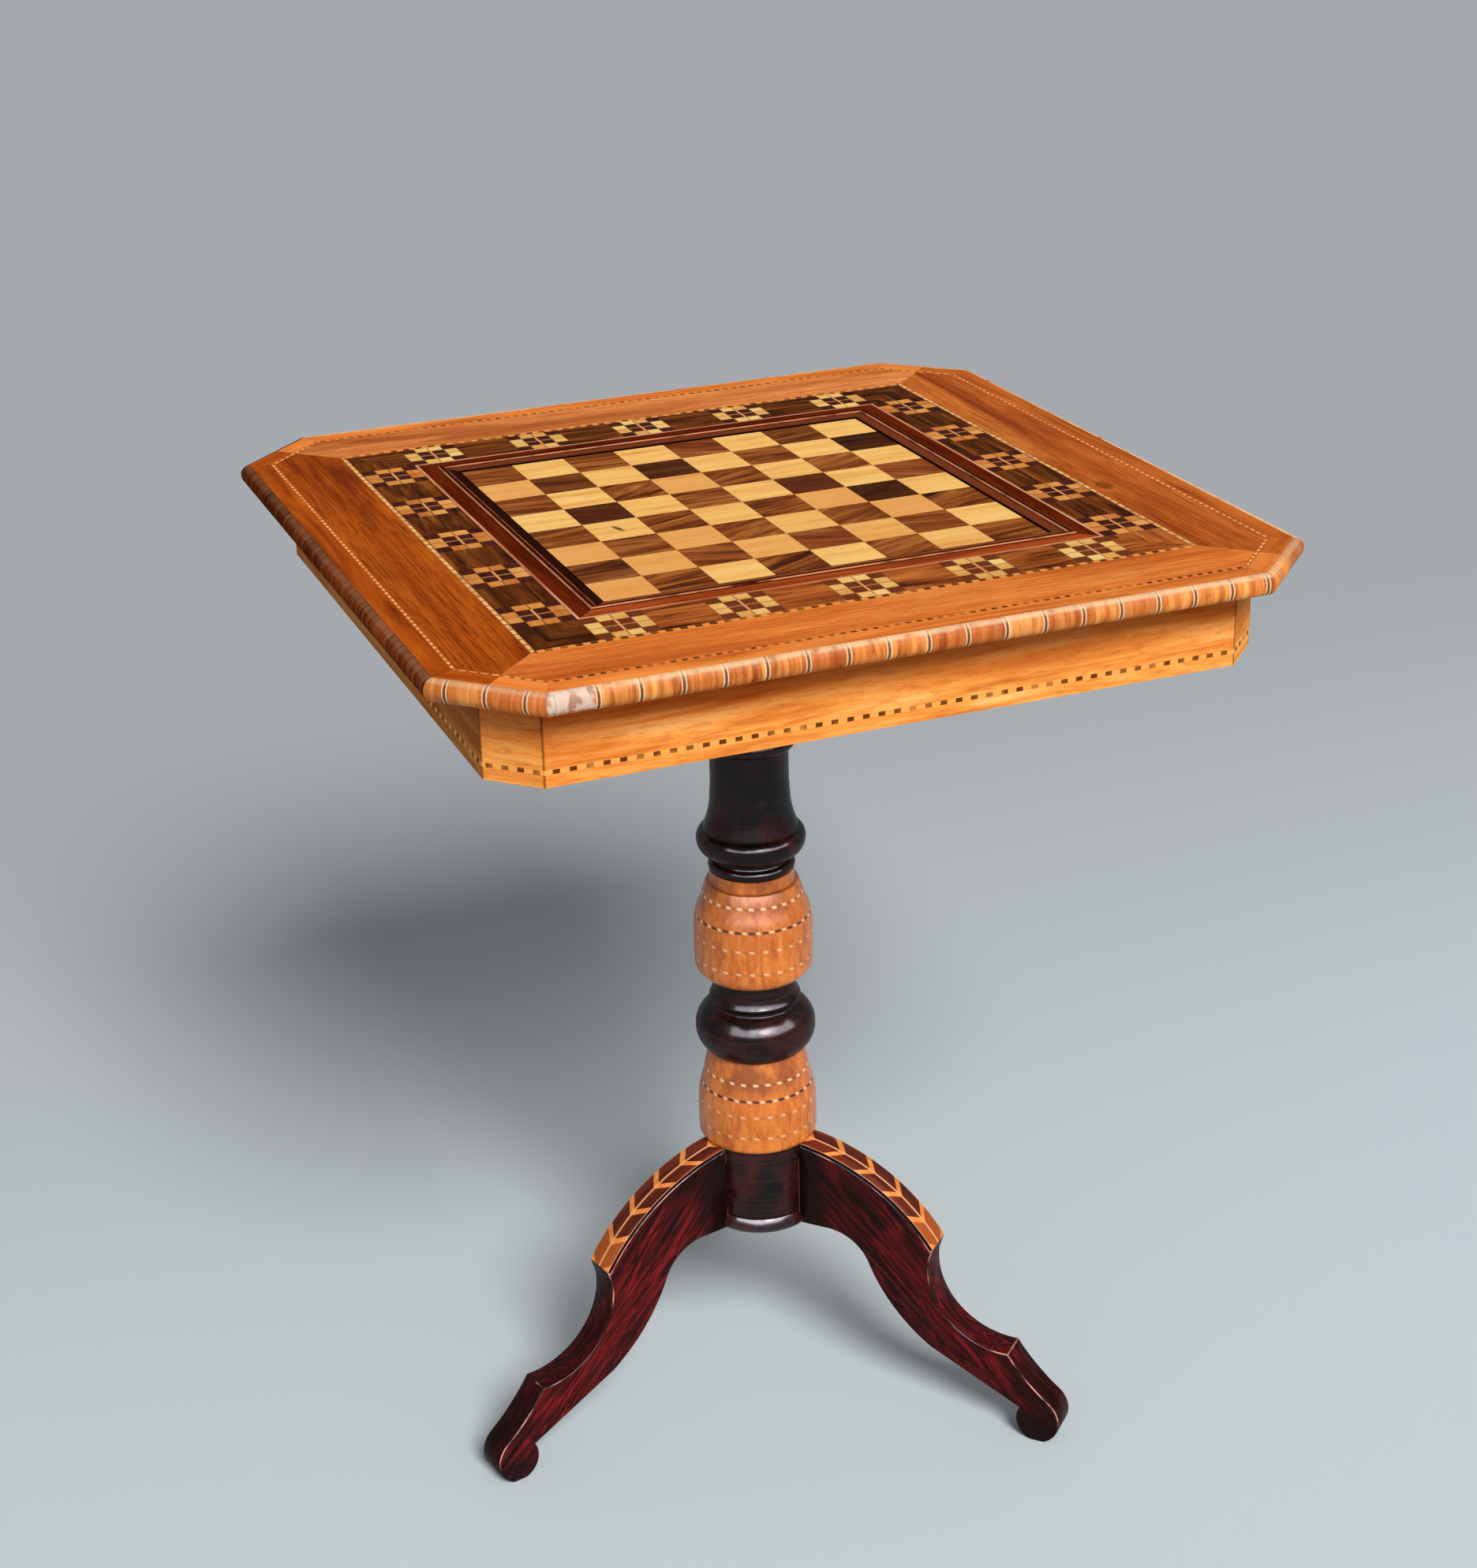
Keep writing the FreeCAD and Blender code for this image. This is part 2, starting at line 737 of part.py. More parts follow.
def make_leg(place, turn):
    leg = new_body(f"leg_{place}", turn=turn)
    profile = new_sketch(leg, "XZ_Plane")
    start, end = knee_points()
    root = f"drum_radius * {leg_root_share}"
    sweep = [(f"leg_reach * {across}", f"knee_height * {up}", bend) for across, up, bend in leg_outline_shares]
    draw_outline(profile, [
        (root, sweep[0][1], 0),
        *sweep,
        (*end, knee_bend_share),
        (*start, 0),
        (root, "knee_height", 0),
    ])
    pad(leg, profile, "leg_thickness", both_ways=True)
    shoulder = new_sketch(leg, "XY_Plane")
    draw_circle(shoulder, "0", "0", "drum_radius + glue_gap")
    pocket(leg, shoulder)
    rebate = new_sketch(leg, "XZ_Plane")
    draw_knee_strip(rebate)
    pocket(leg, rebate, "leg_thickness + cut_overrun", both_ways=True)
    tongue = new_sketch(leg, "XY_Plane", "drum_lift")
    draw_tongue(tongue, "0")
    pad(leg, tongue, "tongue_height")
    keep(leg)
    strip = new_body(f"knee_strip_{place}", turn=turn)
    outline = new_sketch(strip, "XZ_Plane")
    draw_knee_strip(outline)
    pad(strip, outline, "leg_thickness", both_ways=True)
    keep(strip)


for number, leg_place in enumerate(("right", "rear", "left")):
    make_leg(leg_place, first_leg_angle + number * 360.0 / leg_count)
make_pillar()
make_swivel_key()
make_boss()
make_bearers()
make_frieze()
make_glue_blocks()
make_ground_panel()
make_borders()
octagon_ring("margin", "margin_width", "veneer_thickness", "top_width", "top_cant", "margin_inset", "veneer_lift")
octagon_ring(
    "outer_string", "outer_string_width", "veneer_thickness", "top_width", "top_cant", "outer_string_inset",
    "veneer_lift")
square_ring("inner_string", "inner_string_width", "string_half", "veneer_lift")
make_band_pieces("dark_blocks", -5, draw_block)
make_band_pieces("rosette_light_tiles", -4, draw_light_tiles)
make_band_pieces("rosette_dark_tiles", -4, draw_dark_tiles)
make_frame()
square_ring("frame_string", "frame_string_width", "frame_half", "veneer_lift")
make_squares("light_squares", (0, 1))
make_squares("dark_squares", (1, 0))
make_edge_band()
doc.recompute()

failed = [item.Label for item in doc.Objects if {"Invalid", "Error"} & set(item.State)]
if failed:
    raise RuntimeError(f"these did not build: {failed}")
for part in parts:
    if part.Shape.isNull() or not part.Shape.isValid():
        raise RuntimeError(f"{part.Label} has no sound shape")

os.makedirs("parts", exist_ok=True)
for part in parts:
    part.Shape.exportStep(f"parts/{part.Label}.step")
print(f"{len(parts)} nodes, {sum(len(part.Shape.Solids) for part in parts)} solids")
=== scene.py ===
import math

import bmesh
import bpy
from mathutils import Matrix, Vector


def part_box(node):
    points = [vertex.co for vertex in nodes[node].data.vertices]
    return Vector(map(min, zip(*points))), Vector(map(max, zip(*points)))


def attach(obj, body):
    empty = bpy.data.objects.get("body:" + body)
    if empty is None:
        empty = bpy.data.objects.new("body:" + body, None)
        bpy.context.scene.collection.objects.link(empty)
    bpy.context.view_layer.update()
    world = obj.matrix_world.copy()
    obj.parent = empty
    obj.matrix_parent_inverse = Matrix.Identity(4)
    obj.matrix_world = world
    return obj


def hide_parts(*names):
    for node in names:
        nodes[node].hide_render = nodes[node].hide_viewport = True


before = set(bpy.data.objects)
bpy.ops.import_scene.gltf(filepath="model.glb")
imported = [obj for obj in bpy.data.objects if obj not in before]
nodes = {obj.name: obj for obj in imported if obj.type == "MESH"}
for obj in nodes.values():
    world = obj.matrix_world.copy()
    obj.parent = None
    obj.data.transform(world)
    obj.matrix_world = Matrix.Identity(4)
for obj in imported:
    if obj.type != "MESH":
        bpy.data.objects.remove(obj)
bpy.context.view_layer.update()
print("frame loaded:", len(nodes), "nodes")

sideTurns = {"right": 0, "back": 90, "left": 180, "front": 270}  # degrees about the pillar
cantTurns = {"back_right": 45, "back_left": 135, "front_left": 225, "front_right": 315}
legTurns = {"right": -47, "rear": 73, "left": 193}
shadedSidePlaces = ("left", "back_left")  # the edge and the frieze take painted shade here, on the side away from the light


def reach(node):
    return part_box(node)[1].x  # how far a node stands out from the pillar's axis


topLayout = {
    "square": reach("light_squares") / 4,
    "frameHalf": reach("frame_string"),
    "cell": reach("dark_blocks") * 2 / 11,  # eleven cells along each side of the band
    "topHalf": reach("edge_band_right"),
    "topSide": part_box("edge_band_right")[1].y,  # half length of a straight side
    "friezeHalf": reach("frieze_right"),
    "friezeSide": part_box("frieze_right")[1].y,
}
topLayout["tile"] = topLayout["cell"] / 4


# node helpers
def paint(tone):  # a screen colour, 0 to 255, as the linear colour that the shader takes
    if not isinstance(tone, tuple):
        return tone  # a socket, or linear already
    shares = [value / 255 for value in tone]
    return (*[((s + 0.055) / 1.055) ** 2.4 if s > 0.04 else s / 12.92 for s in shares], 1.0)


def join(tree, source, socket):
    if isinstance(source, bpy.types.NodeSocket):
        tree.links.new(source, socket)
    else:
        socket.default_value = source


def plug(tree, kind, *sources):  # a new node with its first inputs joined
    node = tree.nodes.new(kind)
    for source, socket in zip(sources, node.inputs):
        join(tree, source, socket)
    return node


def calc(tree, operation, *sources):
    node = plug(tree, "ShaderNodeMath", *sources)
    node.operation = operation
    return node.outputs[0]


def times(tree, first, second):
    return calc(tree, "MULTIPLY", first, second)


def plus(tree, first, second):
    return calc(tree, "ADD", first, second)


def minus(tree, first, second):
    return calc(tree, "SUBTRACT", first, second)


def absolute(tree, value):
    return calc(tree, "ABSOLUTE", value)


def split(tree, vector):
    return plug(tree, "ShaderNodeSeparateXYZ", vector).outputs


def gather(tree, x, y, z=0.0):
    return plug(tree, "ShaderNodeCombineXYZ", x, y, z).outputs[0]


def turned(tree, vector, degrees=(0, 0, 0), shift=(0, 0, 0), scale=(1, 1, 1)):
    node = plug(tree, "ShaderNodeMapping", vector)
    node.inputs["Location"].default_value = shift
    node.inputs["Rotation"].default_value = [math.radians(angle) for angle in degrees]
    node.inputs["Scale"].default_value = scale
    return node.outputs[0]


def noise(tree, vector, scale, detail, roughness, warp=0.0):
    node = tree.nodes.new("ShaderNodeTexNoise")
    names = ("Vector", "Scale", "Detail", "Roughness", "Distortion")
    for name, source in zip(names, (vector, scale, detail, roughness, warp)):
        join(tree, source, node.inputs[name])
    return node.outputs[0]


def rise(tree, value, low, high):  # runs smoothly from 0 at low to 1 at high
    node = plug(tree, "ShaderNodeMapRange", value, low, high)
    node.interpolation_type = "SMOOTHSTEP"
    return node.outputs[0]


def fall(tree, value, low, high):  # runs smoothly from 1 at low to 0 at high
    return minus(tree, 1.0, rise(tree, value, low, high))


def ramp(tree, value, *stops):
    node = plug(tree, "ShaderNodeValToRGB", value)
    stones = node.color_ramp.elements
    for stone, (place, colour) in zip((stones[0], stones[1]), (stops[0], stops[-1])):
        stone.position = place
        stone.color = paint(colour)
    for place, colour in stops[1:-1]:
        stones.new(place).color = paint(colour)
    return node.outputs[0]


def blend(tree, share, first, second):
    node = tree.nodes.new("ShaderNodeMix")
    node.data_type = "RGBA"
    for place, source in zip((0, 6, 7), (share, paint(first), paint(second))):  # 6 and 7 take colours
        join(tree, source, node.inputs[place])
    return node.outputs[2]


def lay(tree, under, mask, over, strength):  # tints a colour where the mask is
    return blend(tree, times(tree, mask, strength), under, over)


def newGroup(name, takes, gives):
    tree = bpy.data.node_groups.new(name, "ShaderNodeTree")
    for label, start in takes.items():
        kind = "NodeSocketVector" if start is None else "NodeSocketFloat"
        socket = tree.interface.new_socket(label, in_out="INPUT", socket_type=kind)
        if start is not None:
            socket.default_value = start
    for label in gives:
        tree.interface.new_socket(label, in_out="OUTPUT", socket_type="NodeSocketFloat")
    return tree, tree.nodes.new("NodeGroupInput").outputs, tree.nodes.new("NodeGroupOutput").inputs


def use(tree, group, **takes):
    node = tree.nodes.new("ShaderNodeGroup")
    node.node_tree = group
    for label, source in takes.items():
        join(tree, source, node.inputs[label])
    return node.outputs


# shared effects
grainLook = {
    "stretch": (0.09, 0.03, 0.07),  # figure, fibre and pores, along the grain
    "fibre": 700, "pores": 1100,
    "shift": 0.01,  # for each degree that a board is turned, so that no two are alike
}


def makeGrain():  # wood grain that runs along the vector's Y
    starts = {"Vector": None, "Bands": 60.0, "Warp": 0.6}
    tree, takes, gives = newGroup("grain", starts, ("Figure", "Fibre", "Pores"))
    figure, fibre, pores = [
        turned(tree, takes["Vector"], scale=(1, stretch, 1)) for stretch in grainLook["stretch"]
    ]
    join(tree, noise(tree, figure, takes["Bands"], 5, 0.6, takes["Warp"]), gives["Figure"])
    join(tree, noise(tree, fibre, grainLook["fibre"], 2, 0.6), gives["Fibre"])
    holes = noise(tree, pores, grainLook["pores"], 2, 0.5)
    join(tree, rise(tree, holes, 0.6, 0.72), gives["Pores"])
    return tree


def makePatch():  # a tone of its own for every piece on a grid, with the place inside the piece
    starts = {"Vector": None, "Size": 0.04, "Shift": 0.0}
    tree, takes, gives = newGroup("patch", starts, ("Tone", "Hue", "X", "Y"))
    cells = []
    for value, side in zip(split(tree, takes["Vector"]), "XY"):
        run = plus(tree, calc(tree, "DIVIDE", value, takes["Size"]), takes["Shift"])
        join(tree, minus(tree, calc(tree, "FRACT", run), 0.5), gives[side])
        cells.append(calc(tree, "FLOOR", run))
    dice = tree.nodes.new("ShaderNodeTexWhiteNoise")
    dice.noise_dimensions = "2D"
    join(tree, gather(tree, *cells), dice.inputs["Vector"])
    join(tree, dice.outputs["Value"], gives["Tone"])
    join(tree, split(tree, dice.outputs["Color"])[1], gives["Hue"])
    return tree


def makeDashes():  # marks along a line: 1 on a mark
    starts = {"Along": 0.0, "Pitch": 0.01, "Share": 0.5, "Soft": 0.06}
    tree, takes, gives = newGroup("dashes", starts, ("Mark",))
    run = calc(tree, "FRACT", calc(tree, "DIVIDE", takes["Along"], takes["Pitch"]))
    off = times(tree, absolute(tree, minus(tree, run, 0.5)), 2.0)
    low = minus(tree, takes["Share"], takes["Soft"])
    high = plus(tree, takes["Share"], takes["Soft"])
    join(tree, fall(tree, off, low, high), gives["Mark"])
    return tree


def makeRing():  # where a point lies on a canted square: along its side, and in from the outline
    starts = {"Vector": None, "Half": 0.3, "Side": 0.25}
    tree, takes, gives = newGroup("ring", starts, ("Along", "Inset", "Cant"))
    x, y, _ = split(tree, takes["Vector"])
    wide, deep = absolute(tree, x), absolute(tree, y)
    root = math.sqrt(0.5)
    corner = times(tree, plus(tree, takes["Half"], takes["Side"]), root)
    sides = [
        minus(tree, takes["Half"], wide),
        minus(tree, takes["Half"], deep),
        minus(tree, corner, times(tree, plus(tree, wide, deep), root)),
    ]
    straight = calc(tree, "MINIMUM", sides[0], sides[1])
    onCant = calc(tree, "LESS_THAN", sides[2], straight)
    onX = calc(tree, "LESS_THAN", sides[0], sides[1])
    plain = plus(tree, times(tree, onX, y), times(tree, minus(tree, 1.0, onX), x))
    slant = times(tree, minus(tree, wide, deep), root)
    bent = times(tree, onCant, minus(tree, slant, plain))
    join(tree, plus(tree, plain, bent), gives["Along"])
    join(tree, calc(tree, "MINIMUM", straight, sides[2]), gives["Inset"])
    join(tree, onCant, gives["Cant"])
    return tree


def makeWear():  # old polish: slow darkening, and small scuffs that dull the gloss
    tree, takes, gives = newGroup("wear", {"Vector": None, "Size": 9.0}, ("Shade", "Scuff"))
    join(tree, rise(tree, noise(tree, takes["Vector"], takes["Size"], 3, 0.5), 0.35, 0.75), gives["Shade"])
    join(tree, rise(tree, noise(tree, takes["Vector"], 160, 3, 0.65), 0.58, 0.72), gives["Scuff"])
    return tree


grain, patch, dashes, ring, wear = makeGrain(), makePatch(), makeDashes(), makeRing(), makeWear()
scuffDulls = 0.16  # roughness that a scuff adds
print("shared effects ready")


def newMaterial(name, place=""):
    material = bpy.data.materials.new(name + place.title().replace("_", ""))
    material.use_nodes = True
    tree = material.node_tree
    return material, tree, tree.nodes.new("ShaderNodeTexCoord").outputs["Object"]


def polish(material, colour, roughness, height, place, coat=0.0, bump=0.0003, shine=0.003, coatBlur=0.13):
    tree = material.node_tree
    shader = tree.nodes["Principled BSDF"]
    join(tree, colour, shader.inputs["Base Color"])
    scuff = use(tree, wear, Vector=place)["Scuff"]
    join(tree, calc(tree, "MULTIPLY_ADD", scuff, scuffDulls, roughness), shader.inputs["Roughness"])
    shader.inputs["Coat Weight"].default_value = coat
    shader.inputs["Coat Roughness"].default_value = coatBlur
    shader.inputs["Specular IOR Level"].default_value = shine
    relief = tree.nodes.new("ShaderNodeBump")
    relief.inputs["Distance"].default_value = bump
    join(tree, height, relief.inputs["Height"])
    join(tree, relief.outputs[0], shader.inputs["Normal"])
    return material


def figured(tree, run, stops, **takes):  # grain, and a ramp of tones over its figure
    lines = use(tree, grain, Vector=run, **takes)
    return lines, ramp(tree, lines["Figure"], *stops)


def dress(name, material):
    slots = nodes[name].data.materials
    slots.clear()
    slots.append(material)


# the chess board; in a look, a ramp is a row of (place, colour) and a tint is (colour, strength)
boardLook = {
    "pale": [(0.28, (226, 152, 74)), (0.47, (248, 190, 104)), (0.7, (253, 206, 126))],
    "amber": ((230, 150, 76), 0.7),
    "palePores": ((152, 82, 34), 0.18),
    "knot": {
        "place": (-0.1, -0.0185), "size": (0.0022, 0.0085), "turn": -18, "tint": ((72, 36, 18), 0.9)},
    "walnut": [
        (0.3, (46, 19, 6)), (0.43, (112, 54, 18)), (0.56, (152, 82, 34)),
        (0.72, (192, 122, 60))],
    "deep": ((46, 19, 6), 0.85),
    "reddish": ((156, 72, 36), 0.3),
    "darkPores": ((46, 19, 6), 0.4),
    "lean": 1.1,  # spread of the grain's slopes from square to square
}


def knotMask(tree, place, knot):  # 1 in the middle of a knot, 0 outside it
    x, y, _ = split(tree, turned(tree, place, (0, 0, knot["turn"])))
    middle = Matrix.Rotation(math.radians(knot["turn"]), 2) @ Vector(knot["place"])
    far = [
        calc(tree, "POWER", calc(tree, "DIVIDE", minus(tree, value, centre), size), 2.0)
        for value, centre, size in zip((x, y), middle, knot["size"])
    ]
    return fall(tree, plus(tree, *far), 0.2, 1.2)


def lightSquareWood():
    material, tree, place = newMaterial("lightSquareWood")
    own = use(tree, patch, Vector=place, Size=topLayout["square"])
    x, y, _ = split(tree, turned(tree, place, (0, 0, 90)))
    run = gather(tree, x, y, times(tree, own["Tone"], 3.0))
    lines, colour = figured(tree, run, boardLook["pale"], Bands=110.0, Warp=0.4)
    colour = lay(tree, colour, rise(tree, own["Hue"], 0.55, 0.95), *boardLook["amber"])
    colour = lay(tree, colour, lines["Pores"], *boardLook["palePores"])
    knot = boardLook["knot"]
    colour = lay(tree, colour, knotMask(tree, place, knot), *knot["tint"])
    return polish(material, colour, 0.42, lines["Fibre"], place)


def darkSquareWood():
    material, tree, place = newMaterial("darkSquareWood")
    own = use(tree, patch, Vector=place, Size=topLayout["square"])
    lean = times(tree, minus(tree, own["Hue"], 0.5), boardLook["lean"])
    x, y, _ = split(tree, place)
    across = calc(tree, "MULTIPLY_ADD", x, lean, y)
    along = minus(tree, x, times(tree, y, lean))
    run = gather(tree, across, along, times(tree, own["Tone"], 5.0))
    lines, colour = figured(tree, run, boardLook["walnut"], Bands=75.0, Warp=1.6)
    colour = lay(tree, colour, rise(tree, own["Tone"], 0.62, 0.98), *boardLook["deep"])
    colour = lay(tree, colour, rise(tree, own["Hue"], 0.5, 1.0), *boardLook["reddish"])
    colour = lay(tree, colour, lines["Pores"], *boardLook["darkPores"])
    return polish(material, colour, 0.4, lines["Fibre"], place)


dress("light_squares", lightSquareWood())
dress("dark_squares", darkSquareWood())
print("chess board done")

# the parquetry band of blocks and rosettes
bandLook = {
    "frontTile": [(0.2, (216, 150, 76)), (0.5, (240, 186, 104)), (0.8, (248, 206, 130))],
    "sideTile": [(0.2, (186, 104, 44)), (0.5, (218, 140, 66)), (0.8, (232, 164, 90))],
    "seam": {"colour": (92, 40, 26), "middle": 0.75, "edge": 0.6},
    "centre": [(0.35, (48, 18, 10)), (0.7, (92, 40, 26))],
    "centreWarm": ((122, 58, 24), 0.75),
    "cross": {"colour": (226, 150, 92), "span": (0.00063, 0.00117), "faint": 0.55},
    "blockDark": [
        (0.32, (34, 14, 3)), (0.47, (80, 36, 8)), (0.6, (122, 62, 17)),
        (0.76, (176, 102, 40))],
    "blockDeep": ((34, 14, 3), 0.6),
    "blockWarm": [(0.36, (66, 26, 7)), (0.5, (160, 80, 30)), (0.74, (216, 128, 58))],
    "blockPores": ((34, 14, 3), 0.35),
}


def onSides(tree, place):  # 1 on the left and right of the board, 0 in front and behind
    x, y, _ = split(tree, place)
    return calc(tree, "GREATER_THAN", absolute(tree, x), absolute(tree, y))


def onFront(tree, place):  # 1 in front of the board and at its right front corner, 0 elsewhere
    x, y, _ = split(tree, place)
    inside = calc(tree, "GREATER_THAN", x, -topLayout["frameHalf"])
    return times(tree, inside, calc(tree, "LESS_THAN", y, -topLayout["frameHalf"]))


def swapAlong(tree, place):  # a vector whose Y runs along the band
    x, y, z = split(tree, place)
    side = onSides(tree, place)
    off = minus(tree, 1.0, side)
    along = plus(tree, times(tree, side, y), times(tree, off, x))
    across = plus(tree, times(tree, side, x), times(tree, off, y))
    return gather(tree, across, along, z)


def fromMiddle(tree, piece):  # how far a point lies from the middle of its piece, each way
    return [absolute(tree, piece[side]) for side in "XY"]


def rosetteTileWood():
    material, tree, place = newMaterial("rosetteTileWood")
    own = use(tree, patch, Vector=place, Size=topLayout["tile"])
    cell = use(tree, patch, Vector=place, Size=topLayout["cell"], Shift=0.5)
    lines = use(tree, grain, Vector=swapAlong(tree, place), Bands=180.0, Warp=0.5)
    tone = calc(tree, "MULTIPLY_ADD", own["Tone"], 0.45, times(tree, lines["Figure"], 0.55))
    tones = [ramp(tree, tone, *bandLook[key]) for key in ("frontTile", "sideTile")]
    colour = blend(tree, onSides(tree, place), *tones)
    seam = bandLook["seam"]
    cross = calc(tree, "MAXIMUM", *[fall(tree, off, 0.006, 0.016) for off in fromMiddle(tree, cell)])
    edge = rise(tree, calc(tree, "MAXIMUM", *fromMiddle(tree, own)), 0.42, 0.48)
    mark = calc(tree, "MAXIMUM", times(tree, cross, seam["middle"]), times(tree, edge, seam["edge"]))
    colour = blend(tree, mark, colour, seam["colour"])
    return polish(material, colour, 0.42, lines["Fibre"], place)


def rosetteCentreWood():
    material, tree, place = newMaterial("rosetteCentreWood")
    cell = use(tree, patch, Vector=place, Size=topLayout["cell"], Shift=0.5)
    lines, colour = figured(tree, swapAlong(tree, place), bandLook["centre"], Bands=150.0, Warp=0.8)
    colour = lay(tree, colour, onFront(tree, place), *bandLook["centreWarm"])
    off = fromMiddle(tree, cell)
    inside = fall(tree, calc(tree, "MAXIMUM", *off), 0.24, 0.26)
    cross = bandLook["cross"]
    span = [width / topLayout["cell"] for width in cross["span"]]
    arms = [fall(tree, value, *span) for value in off]
    mark = calc(tree, "MAXIMUM", arms[0], times(tree, arms[1], cross["faint"]))
    colour = lay(tree, colour, mark, cross["colour"], inside)
    return polish(material, colour, 0.4, lines["Fibre"], place)


def bandBlockWood():
    material, tree, place = newMaterial("bandBlockWood")
    own = use(tree, patch, Vector=place, Size=topLayout["cell"], Shift=0.5)
    x, y, _ = split(tree, swapAlong(tree, place))
    run = gather(tree, x, y, times(tree, own["Tone"], 4.0))
    lines = use(tree, grain, Vector=run, Bands=90.0, Warp=1.2)
    dark, warm = [ramp(tree, lines["Figure"], *bandLook[key]) for key in ("blockDark", "blockWarm")]
    dark = lay(tree, dark, rise(tree, own["Tone"], 0.55, 1.0), *bandLook["blockDeep"])
    colour = blend(tree, onFront(tree, place), dark, warm)
    colour = lay(tree, colour, lines["Pores"], *bandLook["blockPores"])
    return polish(material, colour, 0.4, lines["Fibre"], place)


dress("rosette_light_tiles", rosetteTileWood())
dress("rosette_dark_tiles", rosetteCentreWood())
dress("dark_blocks", bandBlockWood())
print("parquetry band done")

# the border boards, the margin round them and the dotted strings
borderLook = {
    "right": [(0.3, (140, 58, 14)), (0.5, (204, 104, 38)), (0.72, (222, 130, 56))],
    "back": [(0.3, (170, 84, 34)), (0.5, (240, 144, 74)), (0.72, (248, 162, 94))],
    "left": [(0.3, (108, 38, 4)), (0.5, (180, 80, 12)), (0.72, (206, 104, 24))],
    "front": [(0.3, (186, 86, 28)), (0.5, (246, 138, 58)), (0.72, (252, 166, 86))],
    "old": ((104, 38, 8), 0.25),
    "streak": {"stretch": 0.02, "size": 820, "strength": 0.7},
    "fleck": {"lean": 14, "stretch": 0.22, "size": 330, "strength": 0.32},
    "knot": {  # on the right
        "place": (0.243, -0.085), "size": (0.0065, 0.0115), "turn": 0, "tint": ((104, 38, 8), 0.65)},
    "mitre": ((226, 140, 74), 0.5),
}
stringLook = {
    "light": (246, 190, 118),
    "dark": (84, 34, 10),
    "outer": {
        "half": 0.0015, "pitch": 0.0074, "share": 0.6, "width": 0.0017, "ground": (186, 84, 24),
        "front": {"share": 0.52, "width": 0.0028, "ground": (232, 132, 58)}},
    "inner": {
        "half": 0.002, "pitch": 0.0098, "share": 0.84, "width": 0.0027, "ground": (150, 74, 30),
        "front": {"share": 0.5, "width": 0.004, "ground": (234, 148, 70)}},
    "frieze": {  # marks over the string's full width
        "half": 0.0, "pitch": 0.0108, "share": 0.44, "width": 1.0, "ground": (244, 160, 78)},
    "plain": [(0.3, (176, 96, 62)), (0.7, (232, 168, 122))],
}


def borderWood(place):
    material, tree, point = newMaterial("borderWood", place)
    turn = sideTurns[place]
    local = turned(tree, point, (0, 0, -turn))
    run = turned(tree, local, shift=(0, 0, turn * grainLook["shift"]))
    lines, colour = figured(tree, run, borderLook[place], Bands=38.0, Warp=0.8)
    colour = lay(tree, colour, use(tree, wear, Vector=point, Size=7.0)["Shade"], *borderLook["old"])
    low = borderLook[place][0][1]
    streak, fleck = borderLook["streak"], borderLook["fleck"]
    fine = noise(tree, turned(tree, local, scale=(1, streak["stretch"], 1)), streak["size"], 3, 0.7)
    colour = lay(tree, colour, rise(tree, fine, 0.46, 0.62), low, streak["strength"])
    leaning = turned(tree, local, (0, 0, fleck["lean"]), scale=(1, fleck["stretch"], 1))
    mottle = rise(tree, noise(tree, leaning, fleck["size"], 3, 0.65), 0.48, 0.66)
    colour = lay(tree, colour, mottle, low, fleck["strength"])
    if place == "right":
        knot = borderLook["knot"]
        colour = lay(tree, colour, knotMask(tree, point, knot), *knot["tint"])
    x, y, _ = split(tree, local)
    end = minus(tree, x, absolute(tree, y))
    colour = lay(tree, colour, fall(tree, end, 0.0007, 0.0016), *borderLook["mitre"])
    return polish(material, colour, 0.4, lines["Fibre"], point)


def marginWood():
    material, tree, place = newMaterial("marginWood")
    where = use(tree, ring, Vector=place, Half=topLayout["topHalf"], Side=topLayout["topSide"])
    run = gather(tree, where["Inset"], where["Along"], where["Cant"])
    lines = use(tree, grain, Vector=run, Bands=60.0, Warp=0.8)
    front, right, left = [
        ramp(tree, lines["Figure"], *borderLook[side]) for side in ("front", "right", "left")
    ]
    colour = blend(tree, calc(tree, "LESS_THAN", split(tree, place)[0], 0.0), right, left)
    colour = blend(tree, onSides(tree, place), front, colour)
    colour = lay(tree, colour, use(tree, wear, Vector=place)["Shade"], *borderLook["old"])
    return polish(material, colour, 0.4, lines["Fibre"], place)


def stringWood(kind, half, side, darkAll=False):
    # light marks on the board's left, right and cants, dark ones in front and behind, or dark ones all round
    material, tree, place = newMaterial(kind + "String")
    look = stringLook[kind]
    where = use(tree, ring, Vector=place, Half=half, Side=side)
    lit = calc(tree, "MAXIMUM", onSides(tree, place), where["Cant"])
    front = look.get("front", look)
    share, width = [
        calc(tree, "MULTIPLY_ADD", lit, look[key] - front[key], front[key]) for key in ("share", "width")
    ]
    mark = use(tree, dashes, Along=where["Along"], Pitch=look["pitch"], Share=share)["Mark"]
    middle = half - reach(kind + "_string") + look["half"]
    off = calc(tree, "DIVIDE", minus(tree, where["Inset"], middle), width)
    mark = times(tree, mark, fall(tree, absolute(tree, off), 0.4, 0.6))
    fade = noise(tree, place, 45, 2, 0.5)
    mark = times(tree, mark, calc(tree, "MULTIPLY_ADD", rise(tree, fade, 0.42, 0.7), -0.5, 0.95))
    tint = stringLook["dark"] if darkAll else blend(tree, lit, stringLook["dark"], stringLook["light"])
    ground = blend(tree, lit, front["ground"], look["ground"])
    return polish(material, blend(tree, mark, ground, tint), 0.45, fade, place, bump=0.0001)


def plainStringWood():
    material, tree, place = newMaterial("plainStringWood")
    lines = use(tree, grain, Vector=swapAlong(tree, place), Bands=120.0, Warp=0.3)
    return polish(material, ramp(tree, lines["Figure"], *stringLook["plain"]), 0.42, lines["Fibre"], place)


